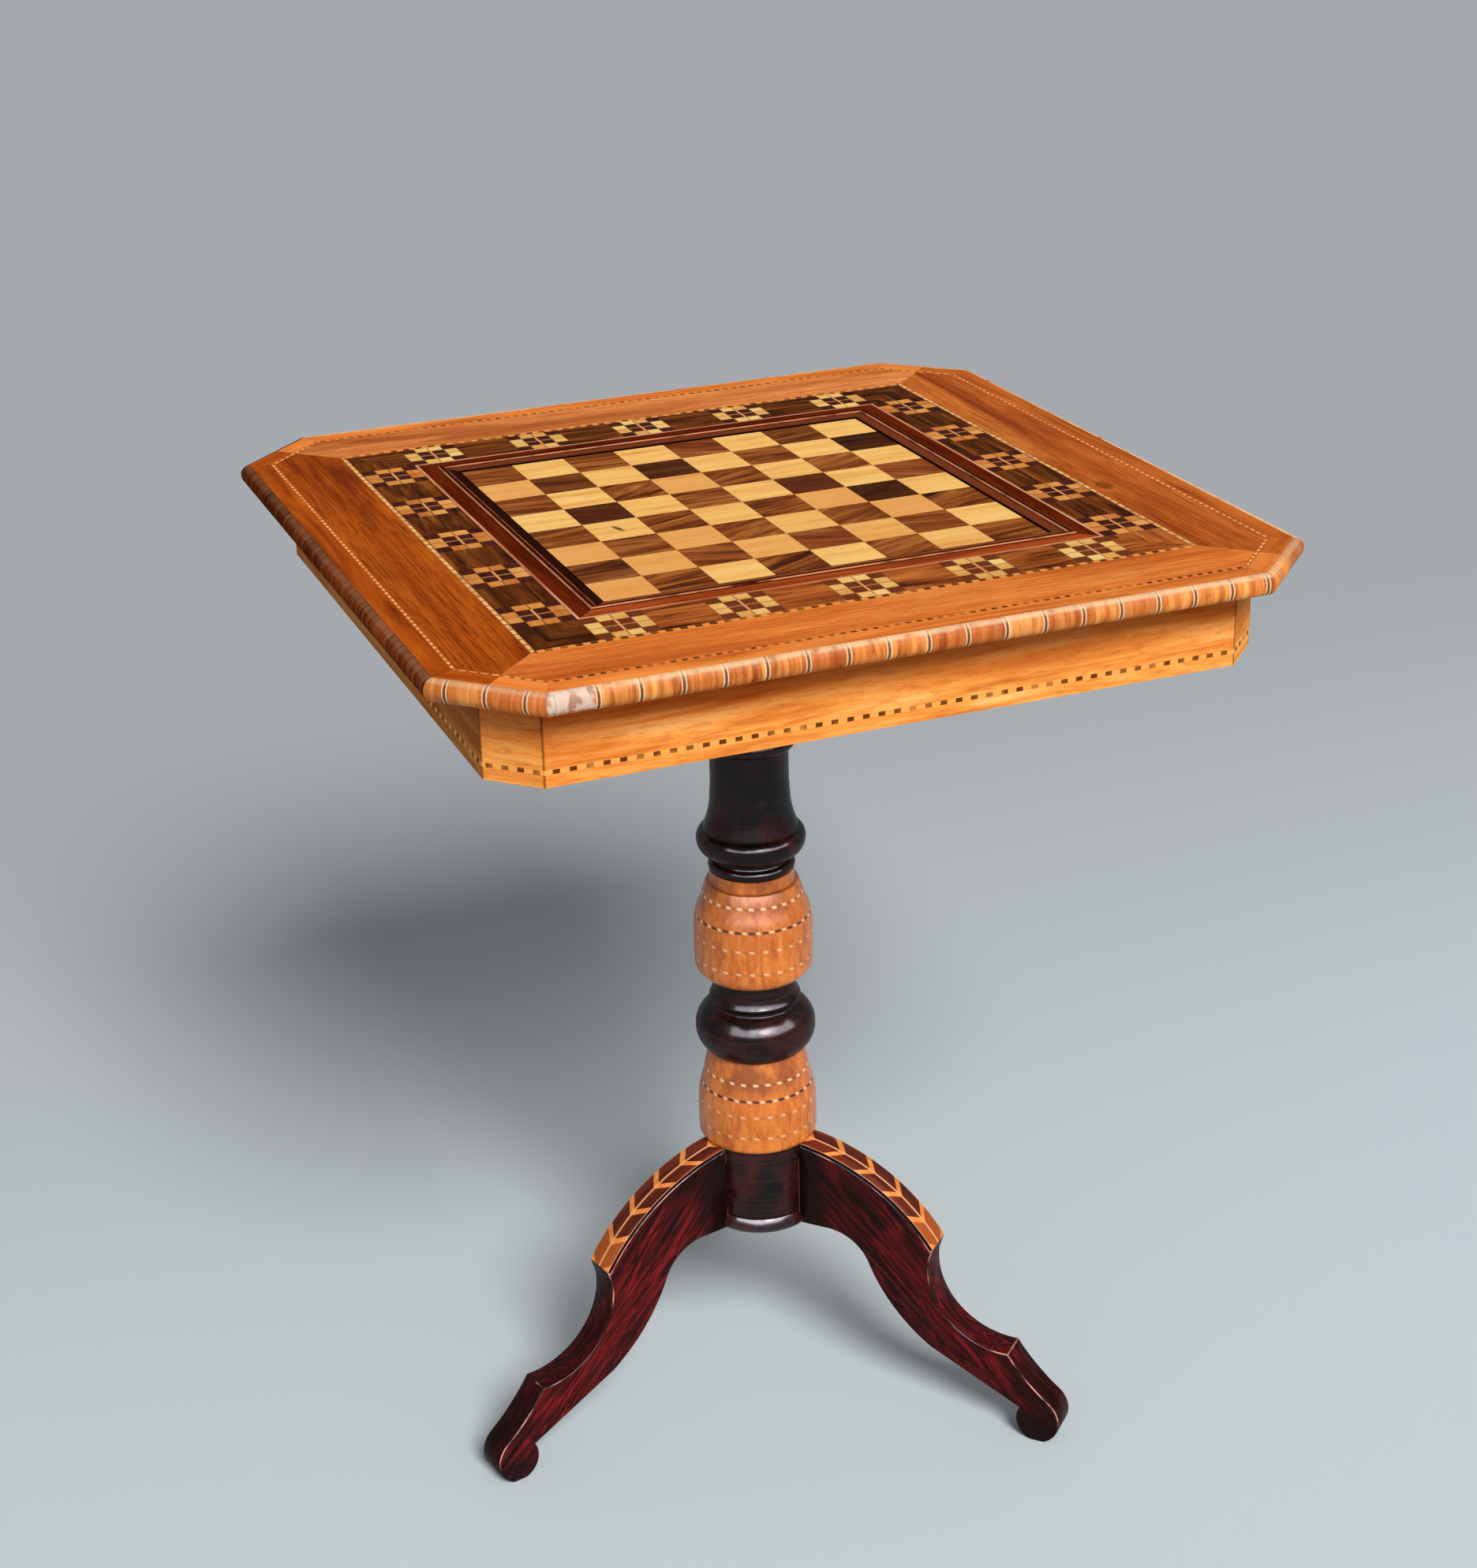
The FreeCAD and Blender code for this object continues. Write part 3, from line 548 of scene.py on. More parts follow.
for place in sideTurns:
    dress(f"border_{place}", borderWood(place))
dress("margin", marginWood())
dress("outer_string", stringWood("outer", topLayout["topHalf"], topLayout["topSide"]))
dress("inner_string", stringWood("inner", 1.0, 1.0))  # a wide square, whose cants lie far outside
dress("frieze_string", stringWood("frieze", topLayout["friezeHalf"], topLayout["friezeSide"], darkAll=True))
dress("frame_string", plainStringWood())
print("border done")

# the moulded frame: a slope by the board, a bead with painted highlights along its edges, and a maroon flat
frameLook = {
    "flat": [(0.32, (66, 18, 5)), (0.68, (118, 42, 14))],
    "lit": [(0.32, (118, 41, 13)), (0.68, (190, 86, 36))],  # in front, lighter: painted light
    # each side's slope colour is painted light and shade for the way that side faces
    "slope": {
        "left": (46, 18, 9), "right": (118, 56, 30), "front": (150, 78, 44),
        "back": (112, 52, 30)},
    "foot": {"colour": (18, 8, 6), "span": (0.0004, 0.0022)},  # the slope's dark foot, a painted shadow where it meets the board
    "gap": (62, 20, 10),  # between the lines
    "bead": (0.008, 0.014),  # from the board's edge
    # pale lines on the bead's edges: painted highlights
    "lines": {"middles": (0.009, 0.013), "span": (0.00035, 0.00075), "tint": ((216, 140, 92), 0.8)},
    "blur": 0.0004,
    "slopeBlur": 0.0005,
}


def frameWood(place):
    material, tree, point = newMaterial("frameWood", place)
    local = turned(tree, point, (0, 0, -sideTurns[place]))
    stops = frameLook["lit" if place == "front" else "flat"]
    lines, colour = figured(tree, local, stops, Bands=90.0, Warp=0.5)
    out = minus(tree, split(tree, local)[0], reach("light_squares"))
    start, end = frameLook["bead"]
    marks, blur, foot = frameLook["lines"], frameLook["blur"], frameLook["foot"]
    colour = blend(tree, fall(tree, out, end, end + blur), colour, frameLook["gap"])
    # noise that breaks the painted highlight lines into patches
    worn = rise(tree, noise(tree, point, 55, 2, 0.5), 0.2, 0.55)
    for middle in marks["middles"]:
        off = absolute(tree, minus(tree, out, middle))
        mark = times(tree, fall(tree, off, *marks["span"]), worn)
        colour = lay(tree, colour, mark, *marks["tint"])
    # painted shadow at the slope's foot, and painted light and shade on the slope
    slope = blend(tree, rise(tree, out, *foot["span"]), foot["colour"], frameLook["slope"][place])
    colour = blend(tree, fall(tree, out, start - frameLook["slopeBlur"], start), colour, slope)
    return polish(material, colour, 0.34, lines["Fibre"], point, bump=0.0002, shine=0.0)


for place in sideTurns:
    dress(f"frame_{place}", frameWood(place))
print("frame done")

# the rounded edge: crossgrain blocks between dark and light lines
edgeLook = {
    "lit": {
        "wood": [(0.3, (140, 60, 22)), (0.5, (220, 128, 58)), (0.72, (250, 178, 98))],
        "red": 0.5, "light": 0.62, "dark": 0.9, "coat": 0.02, "shine": 0.015},
    # a darker copy of the edge wood: painted shade for the side away from the light
    "shadedSide": {
        "wood": [(0.3, (50, 19, 8)), (0.5, (98, 43, 18)), (0.72, (140, 70, 32))],
        "red": 0.25, "light": 0.06, "dark": 0.3, "coat": 0.0, "shine": 0.0},
    "red": (168, 72, 28),
    "light": (250, 212, 166),
    "dark": (82, 32, 12),
    "old": {"colour": (128, 54, 22), "sides": 0.3, "cants": 0.6},
    "block": 0.0268,
    "lightSpan": (0.001615, 0.00204),  # from a joint
    "darkSpan": (0.00068, 0.00102),
    "rim": {"span": (0.003, 0.001), "cants": 0.3},  # a rubbed upper edge with a painted highlight along it, fainter on the cants
    "worn": {  # bare wood at the left end of the front
        "colour": (222, 196, 180), "smudge": ((122, 74, 50), 0.7), "strength": 0.8,
        "length": 0.0325, "ragged": (0.008, 0.0032), "blur": 0.0025,  # ragged along, and up
        "foot": (0.0125, 0.0098)},  # how far under the top the bare wood fades out
}


def wornEnd(tree, colour, point, y, z, top):
    worn = edgeLook["worn"]
    fray = noise(tree, point, 150, 3, 0.6)
    along, up = [times(tree, fray, size) for size in worn["ragged"]]
    far = plus(tree, plus(tree, y, topLayout["topSide"]), along)
    height = plus(tree, z, up)
    above = rise(tree, height, *[top - depth for depth in worn["foot"]])
    mark = times(tree, fall(tree, far, worn["length"], worn["length"] + worn["blur"]), above)
    smudge = rise(tree, noise(tree, point, 110, 2, 0.5, 0.8), 0.46, 0.64)
    return lay(tree, colour, mark, lay(tree, worn["colour"], smudge, *worn["smudge"]), worn["strength"])


def edgeWood(place, turn):
    material, tree, point = newMaterial("edgeWood", place)
    # the left side and the back left cant take the painted shade copy
    look = edgeLook["shadedSide" if place in shadedSidePlaces else "lit"]
    x, y, z = split(tree, turned(tree, point, (0, 0, -turn)))
    own = use(tree, patch, Vector=gather(tree, y, 0.0), Size=edgeLook["block"])
    cross = gather(tree, y, plus(tree, x, z), times(tree, own["Tone"], 4.0))
    lines, colour = figured(tree, cross, look["wood"], Bands=210.0, Warp=0.4)
    colour = lay(tree, colour, rise(tree, own["Tone"], 0.35, 0.9), edgeLook["red"], look["red"])
    old, part = edgeLook["old"], "cants" if place in cantTurns else "sides"
    shade = use(tree, wear, Vector=point, Size=14.0)["Shade"]
    colour = lay(tree, colour, shade, old["colour"], old[part])
    inside = minus(tree, 0.5, absolute(tree, own["X"]))
    off = times(tree, inside, edgeLook["block"])
    colour = lay(tree, colour, fall(tree, off, *edgeLook["lightSpan"]), edgeLook["light"], look["light"])
    colour = lay(tree, colour, fall(tree, off, *edgeLook["darkSpan"]), edgeLook["dark"], look["dark"])
    # a pale upper rim: partly rubbed wear, partly a painted highlight, faint on the shaded side
    rim = edgeLook["rim"]
    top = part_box("edge_band_right")[1].z
    rubbed = rise(tree, noise(tree, point, 70, 3, 0.6), 0.24, 0.52)
    rimWearAndHighlight = times(tree, rise(tree, z, *[top - depth for depth in rim["span"]]), rubbed)
    colour = lay(tree, colour, rimWearAndHighlight, edgeLook["light"], min(look["light"], rim.get(part, 1.0)))
    if place == "front":
        colour = wornEnd(tree, colour, point, y, z, top)
    return polish(material, colour, 0.36, lines["Fibre"], point, coat=look["coat"], shine=look["shine"])


softening = {"edge": 0.0004, "steps": 2, "gap": 0.00001, "flat": 1, "corner": 32}  # angles in degrees


def soften(name, width=softening["edge"], band=-1):  # rounds a node's edges with modifiers
    node = nodes[name]
    node.data.polygons.foreach_set("use_smooth", [True] * len(node.data.polygons))
    node.modifiers.new("weld", "WELD").merge_threshold = softening["gap"]
    flats = node.modifiers.new("flats", "DECIMATE")
    flats.decimate_type = "DISSOLVE"
    flats.angle_limit = math.radians(softening["flat"])
    edge = node.modifiers.new("edge", "BEVEL")
    edge.width = width
    edge.segments = softening["steps"]
    edge.profile = 0.5
    edge.limit_method = "ANGLE"
    edge.angle_limit = math.radians(softening["corner"])
    edge.material = band
    edge.harden_normals = True


for place, turn in {**sideTurns, **cantTurns}.items():
    dress(f"edge_band_{place}", edgeWood(place, turn))
    soften(f"edge_band_{place}")
print("edge band done")

# the frieze under the top
friezeLook = {
    "wood": [(0.28, (198, 98, 30)), (0.5, (250, 158, 72)), (0.72, (255, 190, 110))],
    "streak": {"stretch": 0.05, "size": 130, "tint": ((156, 68, 18), 0.35)},
    "mottle": {"stretch": 0.16, "size": 380, "tint": ((198, 98, 30), 0.42)},
    "pores": ((156, 68, 18), 0.2),
    "shade": {"tint": ((166, 52, 8), 0.7), "depth": 0.046, "full": 0.008},
    "shadedSide": ((92, 40, 14), 0.5),
    "seam": {"tint": ((90, 38, 14), 0.6), "span": (0.0014, 0.0004)},
}


def friezeWood(place, turn, half):
    material, tree, point = newMaterial("friezeWood", place)
    local = turned(tree, point, (0, 0, -turn))
    run = turned(tree, local, shift=(turn * grainLook["shift"], 0, 0))
    lines, colour = figured(tree, run, friezeLook["wood"], Bands=70.0, Warp=0.9)
    streak, mottle = friezeLook["streak"], friezeLook["mottle"]
    long = noise(tree, turned(tree, local, scale=(1, streak["stretch"], 1)), streak["size"], 3, 0.6)
    colour = lay(tree, colour, rise(tree, long, 0.56, 0.7), *streak["tint"])
    short = noise(tree, turned(tree, local, scale=(1, mottle["stretch"], 1)), mottle["size"], 3, 0.65)
    colour = lay(tree, colour, rise(tree, short, 0.48, 0.66), *mottle["tint"])
    colour = lay(tree, colour, lines["Pores"], *friezeLook["pores"])
    _, y, z = split(tree, local)
    shade, seam = friezeLook["shade"], friezeLook["seam"]
    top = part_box("frieze_right")[1].z
    # painted shadow under the top's overhang
    colour = lay(tree, colour, rise(tree, z, top - shade["depth"], top - shade["full"]), *shade["tint"])
    # painted shade: the frieze on the side away from the light is darker
    if place in shadedSidePlaces:
        tint, share = friezeLook["shadedSide"]
        colour = blend(tree, share, colour, tint)
    end = rise(tree, absolute(tree, y), *[half - inset for inset in seam["span"]])
    colour = lay(tree, colour, end, *seam["tint"])
    return polish(material, colour, 0.4, lines["Fibre"], point)


cantHalf = (topLayout["friezeHalf"] - topLayout["friezeSide"]) / math.sqrt(2)
for place, turn in {**sideTurns, **cantTurns}.items():
    half = topLayout["friezeSide"] if place in sideTurns else cantHalf
    dress(f"frieze_{place}", friezeWood(place, turn, half))
print("frieze done")

# plain wood under the top, out of sight from above
groundLook = {
    "wood": [(0.3, (150, 106, 66)), (0.5, (190, 146, 98)), (0.7, (206, 166, 118))],
    "dirt": ((92, 66, 46), 0.5),
}


def groundWood(name, degrees):
    material, tree, point = newMaterial(name)
    lines, colour = figured(tree, turned(tree, point, degrees), groundLook["wood"], Bands=45.0, Warp=0.7)
    colour = lay(tree, colour, use(tree, wear, Vector=point, Size=6.0)["Shade"], *groundLook["dirt"])
    return polish(material, colour, 0.6, lines["Fibre"], point, bump=0.0005)


dress("ground_panel", groundWood("panelWood", (0, 0, 90)))
dress("boss", groundWood("bossWood", (0, 0, 90)))
dress("swivel_key", groundWood("swivelKeyWood", (0, 0, 90)))
for place in ("left", "right"):
    dress(f"bearer_{place}", groundWood(f"bearer{place.title()}Wood", (0, 0, 0)))
dress("glue_blocks", groundWood("glueBlockWood", (90, 0, 0)))
print("underside done")

# the turned pillar; an outline is a row of (radius share, height share, bend of the stretch after it)
drumFoot, shaftFoot = 0.161, 0.446
pillarLook = {
    "baseCap": {"lift": 0.15, "height": 0.011, "radius": 0.041, "shares": [(1.0, 0, 0), (1.0, 1, 0)]},
    "drum": {
        "lift": drumFoot, "height": 0.06, "radius": 0.041,
        "shares": [(0.99, 0, 0), (1.0, 0.01, 0), (1.0, 0.99, 0), (0.99, 1, 0)]},
    "lowerUrn": {
        "lift": 0.221, "height": 0.075, "radius": 0.0455,
        "shares": [(0.93, 0, 0.4), (1.0, 0.08, 0.03), (1.0, 0.42, 0.08), (0.91, 0.68, 0.05), (0.79, 1, 0)]},
    "knop": {
        "lift": 0.296, "height": 0.063, "radius": 0.046,
        "shares": [
            (0.8, 0, 0.26), (1.0, 0.29, 0.28), (0.76, 0.585, 0), (0.72, 0.6, -0.3), (0.72, 0.655, 0),
            (0.755, 0.675, 0.3), (0.745, 0.71, -0.12), (0.65, 1, 0)]},
    "upperUrn": {
        "lift": 0.359, "height": 0.087, "radius": 0.045,
        "shares": [
            (0.8, 0, 0.35), (1.0, 0.14, 0.02), (1.0, 0.48, 0.12), (0.875, 0.73, 0.06), (0.775, 0.884, 0),
            (0.72, 0.893, 0), (0.71, 1, 0)]},
    "upperShaft": {
        "lift": shaftFoot, "height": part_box("black_turnings")[1].z - shaftFoot, "radius": 0.041,
        "shares": [
            (0.755, 0, 0.5), (0.755, 0.034, 0), (0.7, 0.037, -0.3), (0.7, 0.054, 0), (0.79, 0.06, 0.32),
            (1.0, 0.11, 0.3), (0.895, 0.155, 0), (0.875, 0.157, 0), (0.865, 0.165, -0.1),
            (0.73, 0.29, -0.03), (0.715, 0.37, 0), (0.715, 0.462, 0), (0.8, 0.463, 0.5), (0.8, 0.512, 0),
            (0.66, 0.514, 0), (0.66, 1, 0)]},
    "dowel": {
        "lift": drumFoot, "height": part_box("pale_turnings")[1].z - drumFoot, "radius": 0.013,
        "shares": [(1.0, 0, 0), (1.0, 0.998, 0), (0.9, 1, 0)]},
}
turning = {
    "steps": 96, "arcSteps": 9,  # round, and in a radian of bend
    "gap": 0.000005,
    "crease": 38,  # degrees
}


def makeMesh(name, shape):
    mesh = bpy.data.meshes.new(name)
    shape.to_mesh(mesh)
    shape.free()
    return mesh


def addObject(name, data):
    thing = bpy.data.objects.new(name, data)
    bpy.context.scene.collection.objects.link(thing)
    return thing


def finishPiece(name, shape):
    for face in shape.faces:
        face.smooth = True
    mesh = makeMesh(name, shape)
    mesh.set_sharp_from_angle(angle=math.radians(turning["crease"]))
    piece = addObject(name, mesh)
    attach(piece, "pedestal")
    return piece


def turnPiece(name, size):
    shape = bmesh.new()
    tip = shape.verts.new((0, 0, size["lift"]))
    outline = [(across * size["radius"], up * size["height"], bend) for across, up, bend in size["shares"]]
    spots = [(0, 0, 0), *outline, (0, outline[-1][1], 0)]
    for (radius, height, bend), (nextRadius, nextHeight, _) in zip(spots, spots[1:]):
        chord = Vector((nextRadius - radius, 0, nextHeight - height))
        if bend == 0:
            tip = bmesh.ops.extrude_vert_indiv(shape, verts=[tip])["verts"][0]
            tip.co += chord
            continue
        out = Vector((chord.z, 0, -chord.x)) / 2
        centre = tip.co + chord / 2 - out * ((1 + bend ** 2) / (2 * bend) - bend)
        sweep = 4 * math.atan(bend)
        steps = max(3, round(abs(sweep) * turning["arcSteps"]))
        turn = bmesh.ops.spin(shape, geom=[tip], cent=centre, axis=(0, -1, 0), angle=sweep, steps=steps)
        tip = next(part for part in turn["geom_last"] if isinstance(part, bmesh.types.BMVert))
    bmesh.ops.spin(
        shape, geom=shape.verts[:] + shape.edges[:], cent=(0, 0, 0), axis=(0, 0, 1), angle=2 * math.pi,
        steps=turning["steps"], use_merge=True)
    bmesh.ops.remove_doubles(shape, verts=shape.verts[:], dist=turning["gap"])
    bmesh.ops.dissolve_degenerate(shape, dist=turning["gap"], edges=shape.edges[:])
    bmesh.ops.recalc_face_normals(shape, faces=shape.faces[:])
    return finishPiece(name, shape)


urnLook = {
    "wood": [(0.28, (164, 74, 16)), (0.5, (206, 110, 32)), (0.74, (228, 136, 52))],
    "flecks": {"squash": 0.35, "size": 520, "tint": ((160, 68, 20), 0.4)},
    "stain": {"shares": (0.55, 0.8), "size": 24, "tint": ((124, 54, 16), 0.75)},  # near the neck
    "white": (252, 222, 176),
    "dark": (66, 24, 10),
    "count": 27,
    "markSpan": (0.0007875, 0.0013125),  # above and below a row's middle
    "lean": 9.0,  # radians of slant for each metre up
    "between": {"width": 0.3, "strength": 0.6},  # marks of the other tone
    "grooveShadow": {"share": 0.89, "span": (0.00024, 0.0006), "strength": 0.45},
    "lowerUrn": [  # height share, tone, width and strength of each row of marks
        (0.78, "white", 0.4, 0.65), (0.61, "dark", 0.45, 0.95), (0.44, "white", 0.34, 0.35),
        (0.2, "white", 0.34, 0.4)],
    "upperUrn": [
        (0.785, "white", 0.4, 0.75), (0.59, "dark", 0.45, 0.95), (0.415, "white", 0.34, 0.4),
        (0.2, "white", 0.34, 0.45)],
}


def urnWood(name):
    material, tree, place = newMaterial(name + "Wood")
    x, y, z = split(tree, place)
    upright = turned(tree, place, (90, 0, 0), scale=(1, 1, 3))
    lines, colour = figured(tree, upright, urnLook["wood"], Bands=170.0, Warp=0.6)
    flecks, stain = urnLook["flecks"], urnLook["stain"]
    spots = noise(tree, turned(tree, place, scale=(1, 1, flecks["squash"])), flecks["size"], 2, 0.6)
    colour = lay(tree, colour, rise(tree, spots, 0.56, 0.7), *flecks["tint"])
    size = pillarLook[name]
    cloud = rise(tree, noise(tree, place, stain["size"], 4, 0.6), 0.44, 0.62)
    neck = rise(tree, z, *[size["lift"] + size["height"] * share for share in stain["shares"]])
    colour = lay(tree, colour, times(tree, neck, cloud), *stain["tint"])
    angle = calc(tree, "ARCTAN2", y, x)
    pitch = 2 * math.pi / urnLook["count"]
    other = urnLook["between"]
    for share, tone, width, strength in urnLook[name]:
        above = minus(tree, z, size["lift"] + size["height"] * share)
        run = calc(tree, "MULTIPLY_ADD", above, urnLook["lean"], angle)
        shifted = plus(tree, run, pitch / 2)
        band = fall(tree, absolute(tree, above), *urnLook["markSpan"])
        marks = use(tree, dashes, Along=run, Pitch=pitch, Share=width)["Mark"]
        between = use(tree, dashes, Along=shifted, Pitch=pitch, Share=other["width"])["Mark"]
        otherTint = urnLook["white" if tone == "dark" else "dark"]
        colour = lay(tree, colour, times(tree, between, band), otherTint, strength * other["strength"])
        colour = lay(tree, colour, times(tree, marks, band), urnLook[tone], strength)
    # a painted shadow line in the groove under the upper urn's neck
    if name == "upperUrn":
        grooveShadow = urnLook["grooveShadow"]
        level = size["lift"] + size["height"] * grooveShadow["share"]
        off = absolute(tree, minus(tree, z, level))
        colour = lay(tree, colour, fall(tree, off, *grooveShadow["span"]), urnLook["dark"], grooveShadow["strength"])
    return polish(material, colour, 0.4, lines["Fibre"], place, coat=0.85, shine=0.03, coatBlur=0.29)


ebonyLook = {
    "black": (16, 6, 5),
    "brown": (62, 18, 16),
    "rub": ((86, 34, 30), 0.4),
    "ring": ((66, 44, 36), 0.25),
    "coat": 0.45, "blur": 0.19,
}


def ebonyWood(name, coat, blur):
    material, tree, place = newMaterial(name)
    rings = noise(tree, turned(tree, place, scale=(0.02, 0.02, 1)), 420, 3, 0.6)
    cloud = noise(tree, place, 26, 4, 0.6, 0.8)
    colour = blend(tree, rise(tree, cloud, 0.4, 0.72), ebonyLook["black"], ebonyLook["brown"])
    rubbed = rise(tree, noise(tree, place, 90, 3, 0.6), 0.62, 0.74)
    colour = lay(tree, colour, rubbed, *ebonyLook["rub"])
    colour = lay(tree, colour, rise(tree, rings, 0.52, 0.68), *ebonyLook["ring"])
    return polish(material, colour, 0.3, rings, place, coat=coat, bump=0.0001, shine=0.0, coatBlur=blur)


beadLook = {
    "lift": 0.15, "height": 0.011, "inner": 0.0405, "outer": 0.045, "top": 0.0003,
    "face": [(0.0025, 0), (0.0006, 0.002), (0, 0.0038), (0.0004, 0.0052)],  # in from outer, and up
    "leg": 16.3,  # half a leg's angle at the rim
    "steps": 28, "coat": 1.0, "blur": 0.13,
}


def footBead(look):  # a bead round the drum's foot, in three lengths between the legs
    shape = bmesh.new()
    inner, low, high = look["inner"], look["lift"], look["lift"] + look["height"]
    face = [(look["outer"] - inset, low + up) for inset, up in look["face"]]
    rim = [(inner, low), *face, (inner + look["top"], high), (inner, high)]
    for turn in legTurns.values():
        corners = [shape.verts.new((radius, 0, height)) for radius, height in rim]
        end = shape.faces.new(corners)
        about = {"cent": (0, 0, 0), "verts": corners}
        bmesh.ops.rotate(shape, matrix=Matrix.Rotation(math.radians(turn + look["leg"]), 3, "Z"), **about)
        bmesh.ops.spin(
            shape, geom=[end, *end.edges, *corners], cent=(0, 0, 0), axis=(0, 0, 1),
            angle=math.radians(120 - 2 * look["leg"]), steps=look["steps"])
    bmesh.ops.recalc_face_normals(shape, faces=shape.faces[:])
    return finishPiece("footBead", shape)


ebony = ebonyWood("ebonyWood", ebonyLook["coat"], ebonyLook["blur"])
for name, size in pillarLook.items():
    piece = turnPiece(name, size)
    pale = name in ("lowerUrn", "upperUrn", "dowel")
    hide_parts("pale_turnings" if pale else "black_turnings")
    if name == "dowel":
        piece.data.materials.append(groundWood("dowelWood", (90, 0, 0)))
    else:
        piece.data.materials.append(urnWood(name) if pale else ebony)
bead = footBead(beadLook)
bead.data.materials.append(ebonyWood("footBeadWood", beadLook["coat"], beadLook["blur"]))
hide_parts("black_turnings")
print("pillar done:", len(pillarLook) + 1, "turned pieces")

# the scroll legs and the inlay on their knees
legLook = {
    "black": (22, 8, 7),
    "wood": [
        (0.34, (22, 8, 7)), (0.45, (52, 12, 11)), (0.56, (104, 20, 21)),
        (0.7, (150, 30, 34))],
    "cloud": 0.8,
    "worn": (206, 138, 122),
    "edge": 0.0009,
    "half": 0.0122,  # just under half the leg's thickness
    "lean": 44,  # degrees that the leg slopes down
    "crest": (0.262, 0.27),  # upper edges lie where crestSlope times radius, plus height, passes these
    "crestSlope": 0.97,
    "shoulder": {"span": (0.0445, 0.046), "strength": 0.6},  # the worn edge by the drum
    "root": (0.045, 0.075),  # painted shade: the leg goes dark between these radii, toward the drum
    "foot": {"span": (0.01, 0.032), "strength": 0.75},  # painted shade: the scroll goes dark between these heights
    # shares of black: the right leg's darker sides are painted shade and its lighter edge faces a painted
    # sheen; the other legs' edge faces just go darker
    "shade": {"right": (0.36, 0.4), "rear": (0.0, 0.7), "left": (0.0, 0.7)},  # on the sides, on the edges
}
kneeLook = {
    "centre": (0.018, 0.0625),  # the knee arc's centre, out from the axis and up
    "radius": 0.1603, "length": 0.1327,
    "start": 81.35,  # degrees, where the strip begins
    "pitch": 0.027, "first": 0.004, "bar": 0.2, "slope": 0.8,
    "mahogany": [(0.35, (58, 16, 10)), (0.7, (126, 50, 24))],
    "orange": [(0.35, (218, 118, 46)), (0.65, (246, 160, 86))],
    "thread": ((248, 176, 118), 0.85),
    "end": {"length": 0.019, "blur": 0.0005, "tint": ((178, 88, 36), 0.8)},
    "middle": (0.0006, 0.0011),
    "rim": {"span": (0.0117, 0.0119), "strength": 0.7},
    "side": (0.0123, 0.0124),
}


def legWood(place):
    material, tree, point = newMaterial("legWood", place)
    local = turned(tree, point, (0, 0, -legTurns[place]))
    along = turned(tree, turned(tree, local, (0, legLook["lean"], 0)), (-90, 0, 0))
    lines, colour = figured(tree, along, legLook["wood"], Bands=230.0, Warp=1.2)
    black, foot = legLook["black"], legLook["foot"]
    cloud = rise(tree, noise(tree, local, 14, 4, 0.6, 0.6), 0.42, 0.68)
    colour = lay(tree, colour, cloud, black, legLook["cloud"])
    x, y, z = split(tree, local)
    # painted shade toward the drum and on the scroll at the foot
    colour = blend(tree, fall(tree, x, *legLook["root"]), colour, black)
    colour = lay(tree, colour, fall(tree, z, *foot["span"]), black, foot["strength"])
    edgeways = calc(tree, "LESS_THAN", absolute(tree, y), legLook["half"])
    # painted shade on the right leg's sides, a painted sheen on its edge faces
    sideShade, edgeShade = legLook["shade"][place]
    shade = calc(tree, "MULTIPLY_ADD", edgeways, edgeShade - sideShade, sideShade)
    colour = blend(tree, shade, colour, black)
    return polish(material, colour, 0.34, lines["Fibre"], point, coat=0.16)


def wornEdge(place):
    material, tree, point = newMaterial("wornEdge", place)
    x, _, z = split(tree, turned(tree, point, (0, 0, -legTurns[place])))
    upper = rise(tree, calc(tree, "MULTIPLY_ADD", x, legLook["crestSlope"], z), *legLook["crest"])
    rubbed = rise(tree, noise(tree, point, 42, 3, 0.6), 0.42, 0.62)
    shoulder = legLook["shoulder"]
    inner = times(tree, fall(tree, x, *shoulder["span"]), shoulder["strength"])
    bare = calc(tree, "MAXIMUM", upper, inner)
    colour = lay(tree, legLook["black"], bare, legLook["worn"], rubbed)
    return polish(material, colour, 0.36, rubbed, point, coat=0.1, bump=0.0001, shine=0.1)


def kneeInlay(place):
    material, tree, point = newMaterial("kneeInlay", place)
    x, y, z = split(tree, turned(tree, point, (0, 0, -legTurns[place])))
    out = minus(tree, x, kneeLook["centre"][0])
    up = minus(tree, z, kneeLook["centre"][1])
    swept = minus(tree, math.radians(kneeLook["start"]), calc(tree, "ARCTAN2", up, out))
    along = times(tree, swept, kneeLook["radius"])
    off = absolute(tree, y)
    slant = calc(tree, "MULTIPLY_ADD", off, kneeLook["slope"], along)
    chevron = plus(tree, slant, kneeLook["pitch"] / 2 - kneeLook["first"])
    barred = {"Pitch": kneeLook["pitch"], "Share": kneeLook["bar"], "Soft": 0.03}
    bars = use(tree, dashes, Along=chevron, **barred)["Mark"]
    lines = use(tree, grain, Vector=gather(tree, y, along), Bands=160.0, Warp=0.8)
    dark, warm = [ramp(tree, lines["Figure"], *kneeLook[key]) for key in ("mahogany", "orange")]
    end, rim = kneeLook["end"], kneeLook["rim"]
    last = kneeLook["length"] - end["length"]
    colour = lay(tree, dark, rise(tree, slant, last, last + end["blur"]), *end["tint"])
    colour = blend(tree, bars, colour, warm)
    outer = times(tree, rise(tree, off, *rim["span"]), rim["strength"])
    thread = calc(tree, "MAXIMUM", fall(tree, off, *kneeLook["middle"]), outer)
    colour = lay(tree, colour, thread, *kneeLook["thread"])
    colour = blend(tree, rise(tree, off, *kneeLook["side"]), colour, legLook["black"])
    return polish(material, colour, 0.36, lines["Fibre"], point, coat=0.08, shine=0.05)


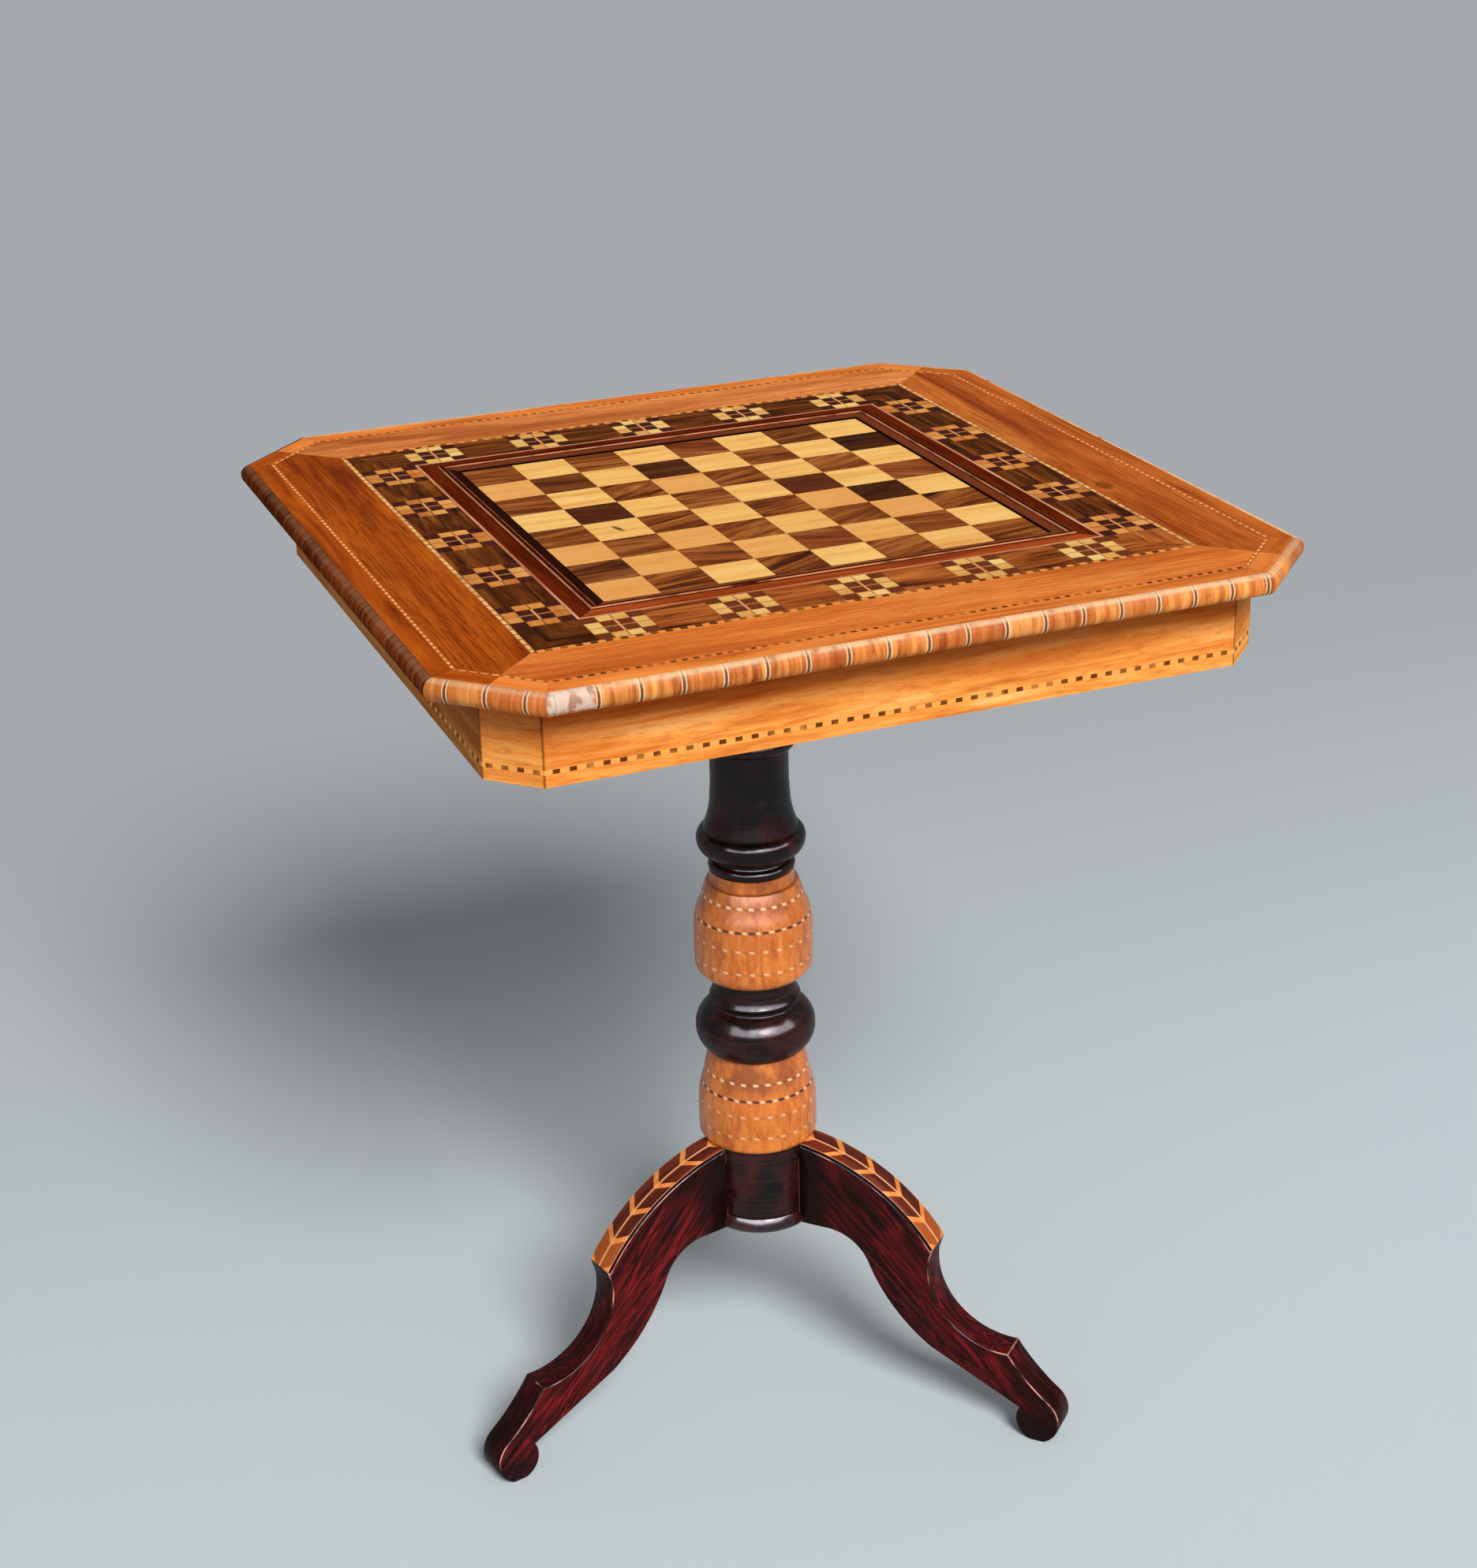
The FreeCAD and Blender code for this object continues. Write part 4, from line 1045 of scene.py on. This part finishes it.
for place in legTurns:
    dress(f"leg_{place}", legWood(place))
    nodes[f"leg_{place}"].data.materials.append(wornEdge(place))
    soften(f"leg_{place}", legLook["edge"], band=1)
    dress(f"knee_strip_{place}", kneeInlay(place))
    soften(f"knee_strip_{place}")
print("legs done")

# studio: pale floor, soft light and the camera
studio = {
    "floor": {
        "tones": [(200, 210, 213), (168, 171, 174)], "fade": (-0.4, 1.5), "radius": 14, "steps": 96,
        "roughness": 0.9, "shine": 0.1},
    "air": [0.272, 0.286, 0.3, 1],  # linear
    "backdrop": (164, 169, 173),
    "camera": {
        "place": (-0.6798, -1.7124, 1.3064), "azimuth": -21.4, "elevation": 23.31, "roll": -1.574,
        "lens": 62.257},
    "key": {"azimuth": -1, "elevation": 40.5, "spread": 21, "strength": 3.3},
    "screens": {
        "azimuths": (-50, -5, 40), "elevation": 40, "away": 2.3, "aim": (0, 0, 0.35), "size": (1.8, 1.6),
        "power": 135, "tint": (0.97, 0.91, 1.0)},
}


def makeFloor():
    look = studio["floor"]
    shape = bmesh.new()
    bmesh.ops.create_circle(shape, cap_ends=True, segments=look["steps"], radius=look["radius"])
    mesh = makeMesh("studioFloor", shape)
    material, tree, place = newMaterial("studioFloor")
    shader = tree.nodes["Principled BSDF"]
    # the floor fades darker towards the back: painted shade
    far = rise(tree, split(tree, place)[1], *look["fade"])
    join(tree, blend(tree, far, *look["tones"]), shader.inputs["Base Color"])
    shader.inputs["Roughness"].default_value = look["roughness"]
    shader.inputs["Specular IOR Level"].default_value = look["shine"]
    mesh.materials.append(material)
    floor = addObject("studioFloor", mesh)


def aimed(place, azimuth, elevation):  # at a place, looking from an azimuth and elevation in degrees
    tilt = Matrix.Rotation(math.radians(90 - elevation), 4, "X")
    return Matrix.Translation(place) @ Matrix.Rotation(math.radians(azimuth), 4, "Z") @ tilt


def makeLamps():  # a broad key from the front, and a row of screens for the polish's long highlights
    key = bpy.data.lights.new("key", "SUN")
    sun, look = studio["key"], studio["screens"]
    key.angle = math.radians(sun["spread"])
    key.energy = sun["strength"]
    places = [(key, sun["azimuth"], sun["elevation"], 0.0)]
    for azimuth in look["azimuths"]:
        screen = bpy.data.lights.new("screen", "AREA")
        screen.shape = "RECTANGLE"
        screen.size, screen.size_y = look["size"]
        screen.energy = look["power"]
        screen.color = look["tint"]
        places.append((screen, azimuth, look["elevation"], look["away"]))
    for data, azimuth, elevation, away in places:
        lamp = addObject(data.name, data)
        lamp.matrix_world = aimed(look["aim"], azimuth, elevation) @ Matrix.Translation((0, 0, away))
        if data != key:
            lamp.visible_camera = lamp.visible_diffuse = False  # the screens show in the polish only


def makeAir():
    world = bpy.data.worlds.new("studioAir")
    bpy.context.scene.world = world
    world.use_nodes = True
    tree = world.node_tree
    rays = tree.nodes.new("ShaderNodeLightPath").outputs
    seen = calc(tree, "MAXIMUM", rays["Is Camera Ray"], rays["Is Glossy Ray"])
    light = blend(tree, seen, studio["air"], studio["backdrop"])
    join(tree, light, tree.nodes["Background"].inputs["Color"])


def makeCamera():
    shot = studio["camera"]
    data = bpy.data.cameras.new("studioCamera")
    data.lens = shot["lens"]
    camera = addObject("studioCamera", data)
    roll = Matrix.Rotation(math.radians(shot["roll"]), 4, "Z")
    camera.matrix_world = aimed(shot["place"], shot["azimuth"], shot["elevation"]) @ roll
    bpy.context.scene.camera = camera


makeFloor()
makeLamps()
makeAir()
makeCamera()
bpy.context.scene.view_settings.view_transform = "Standard"
print("studio done")
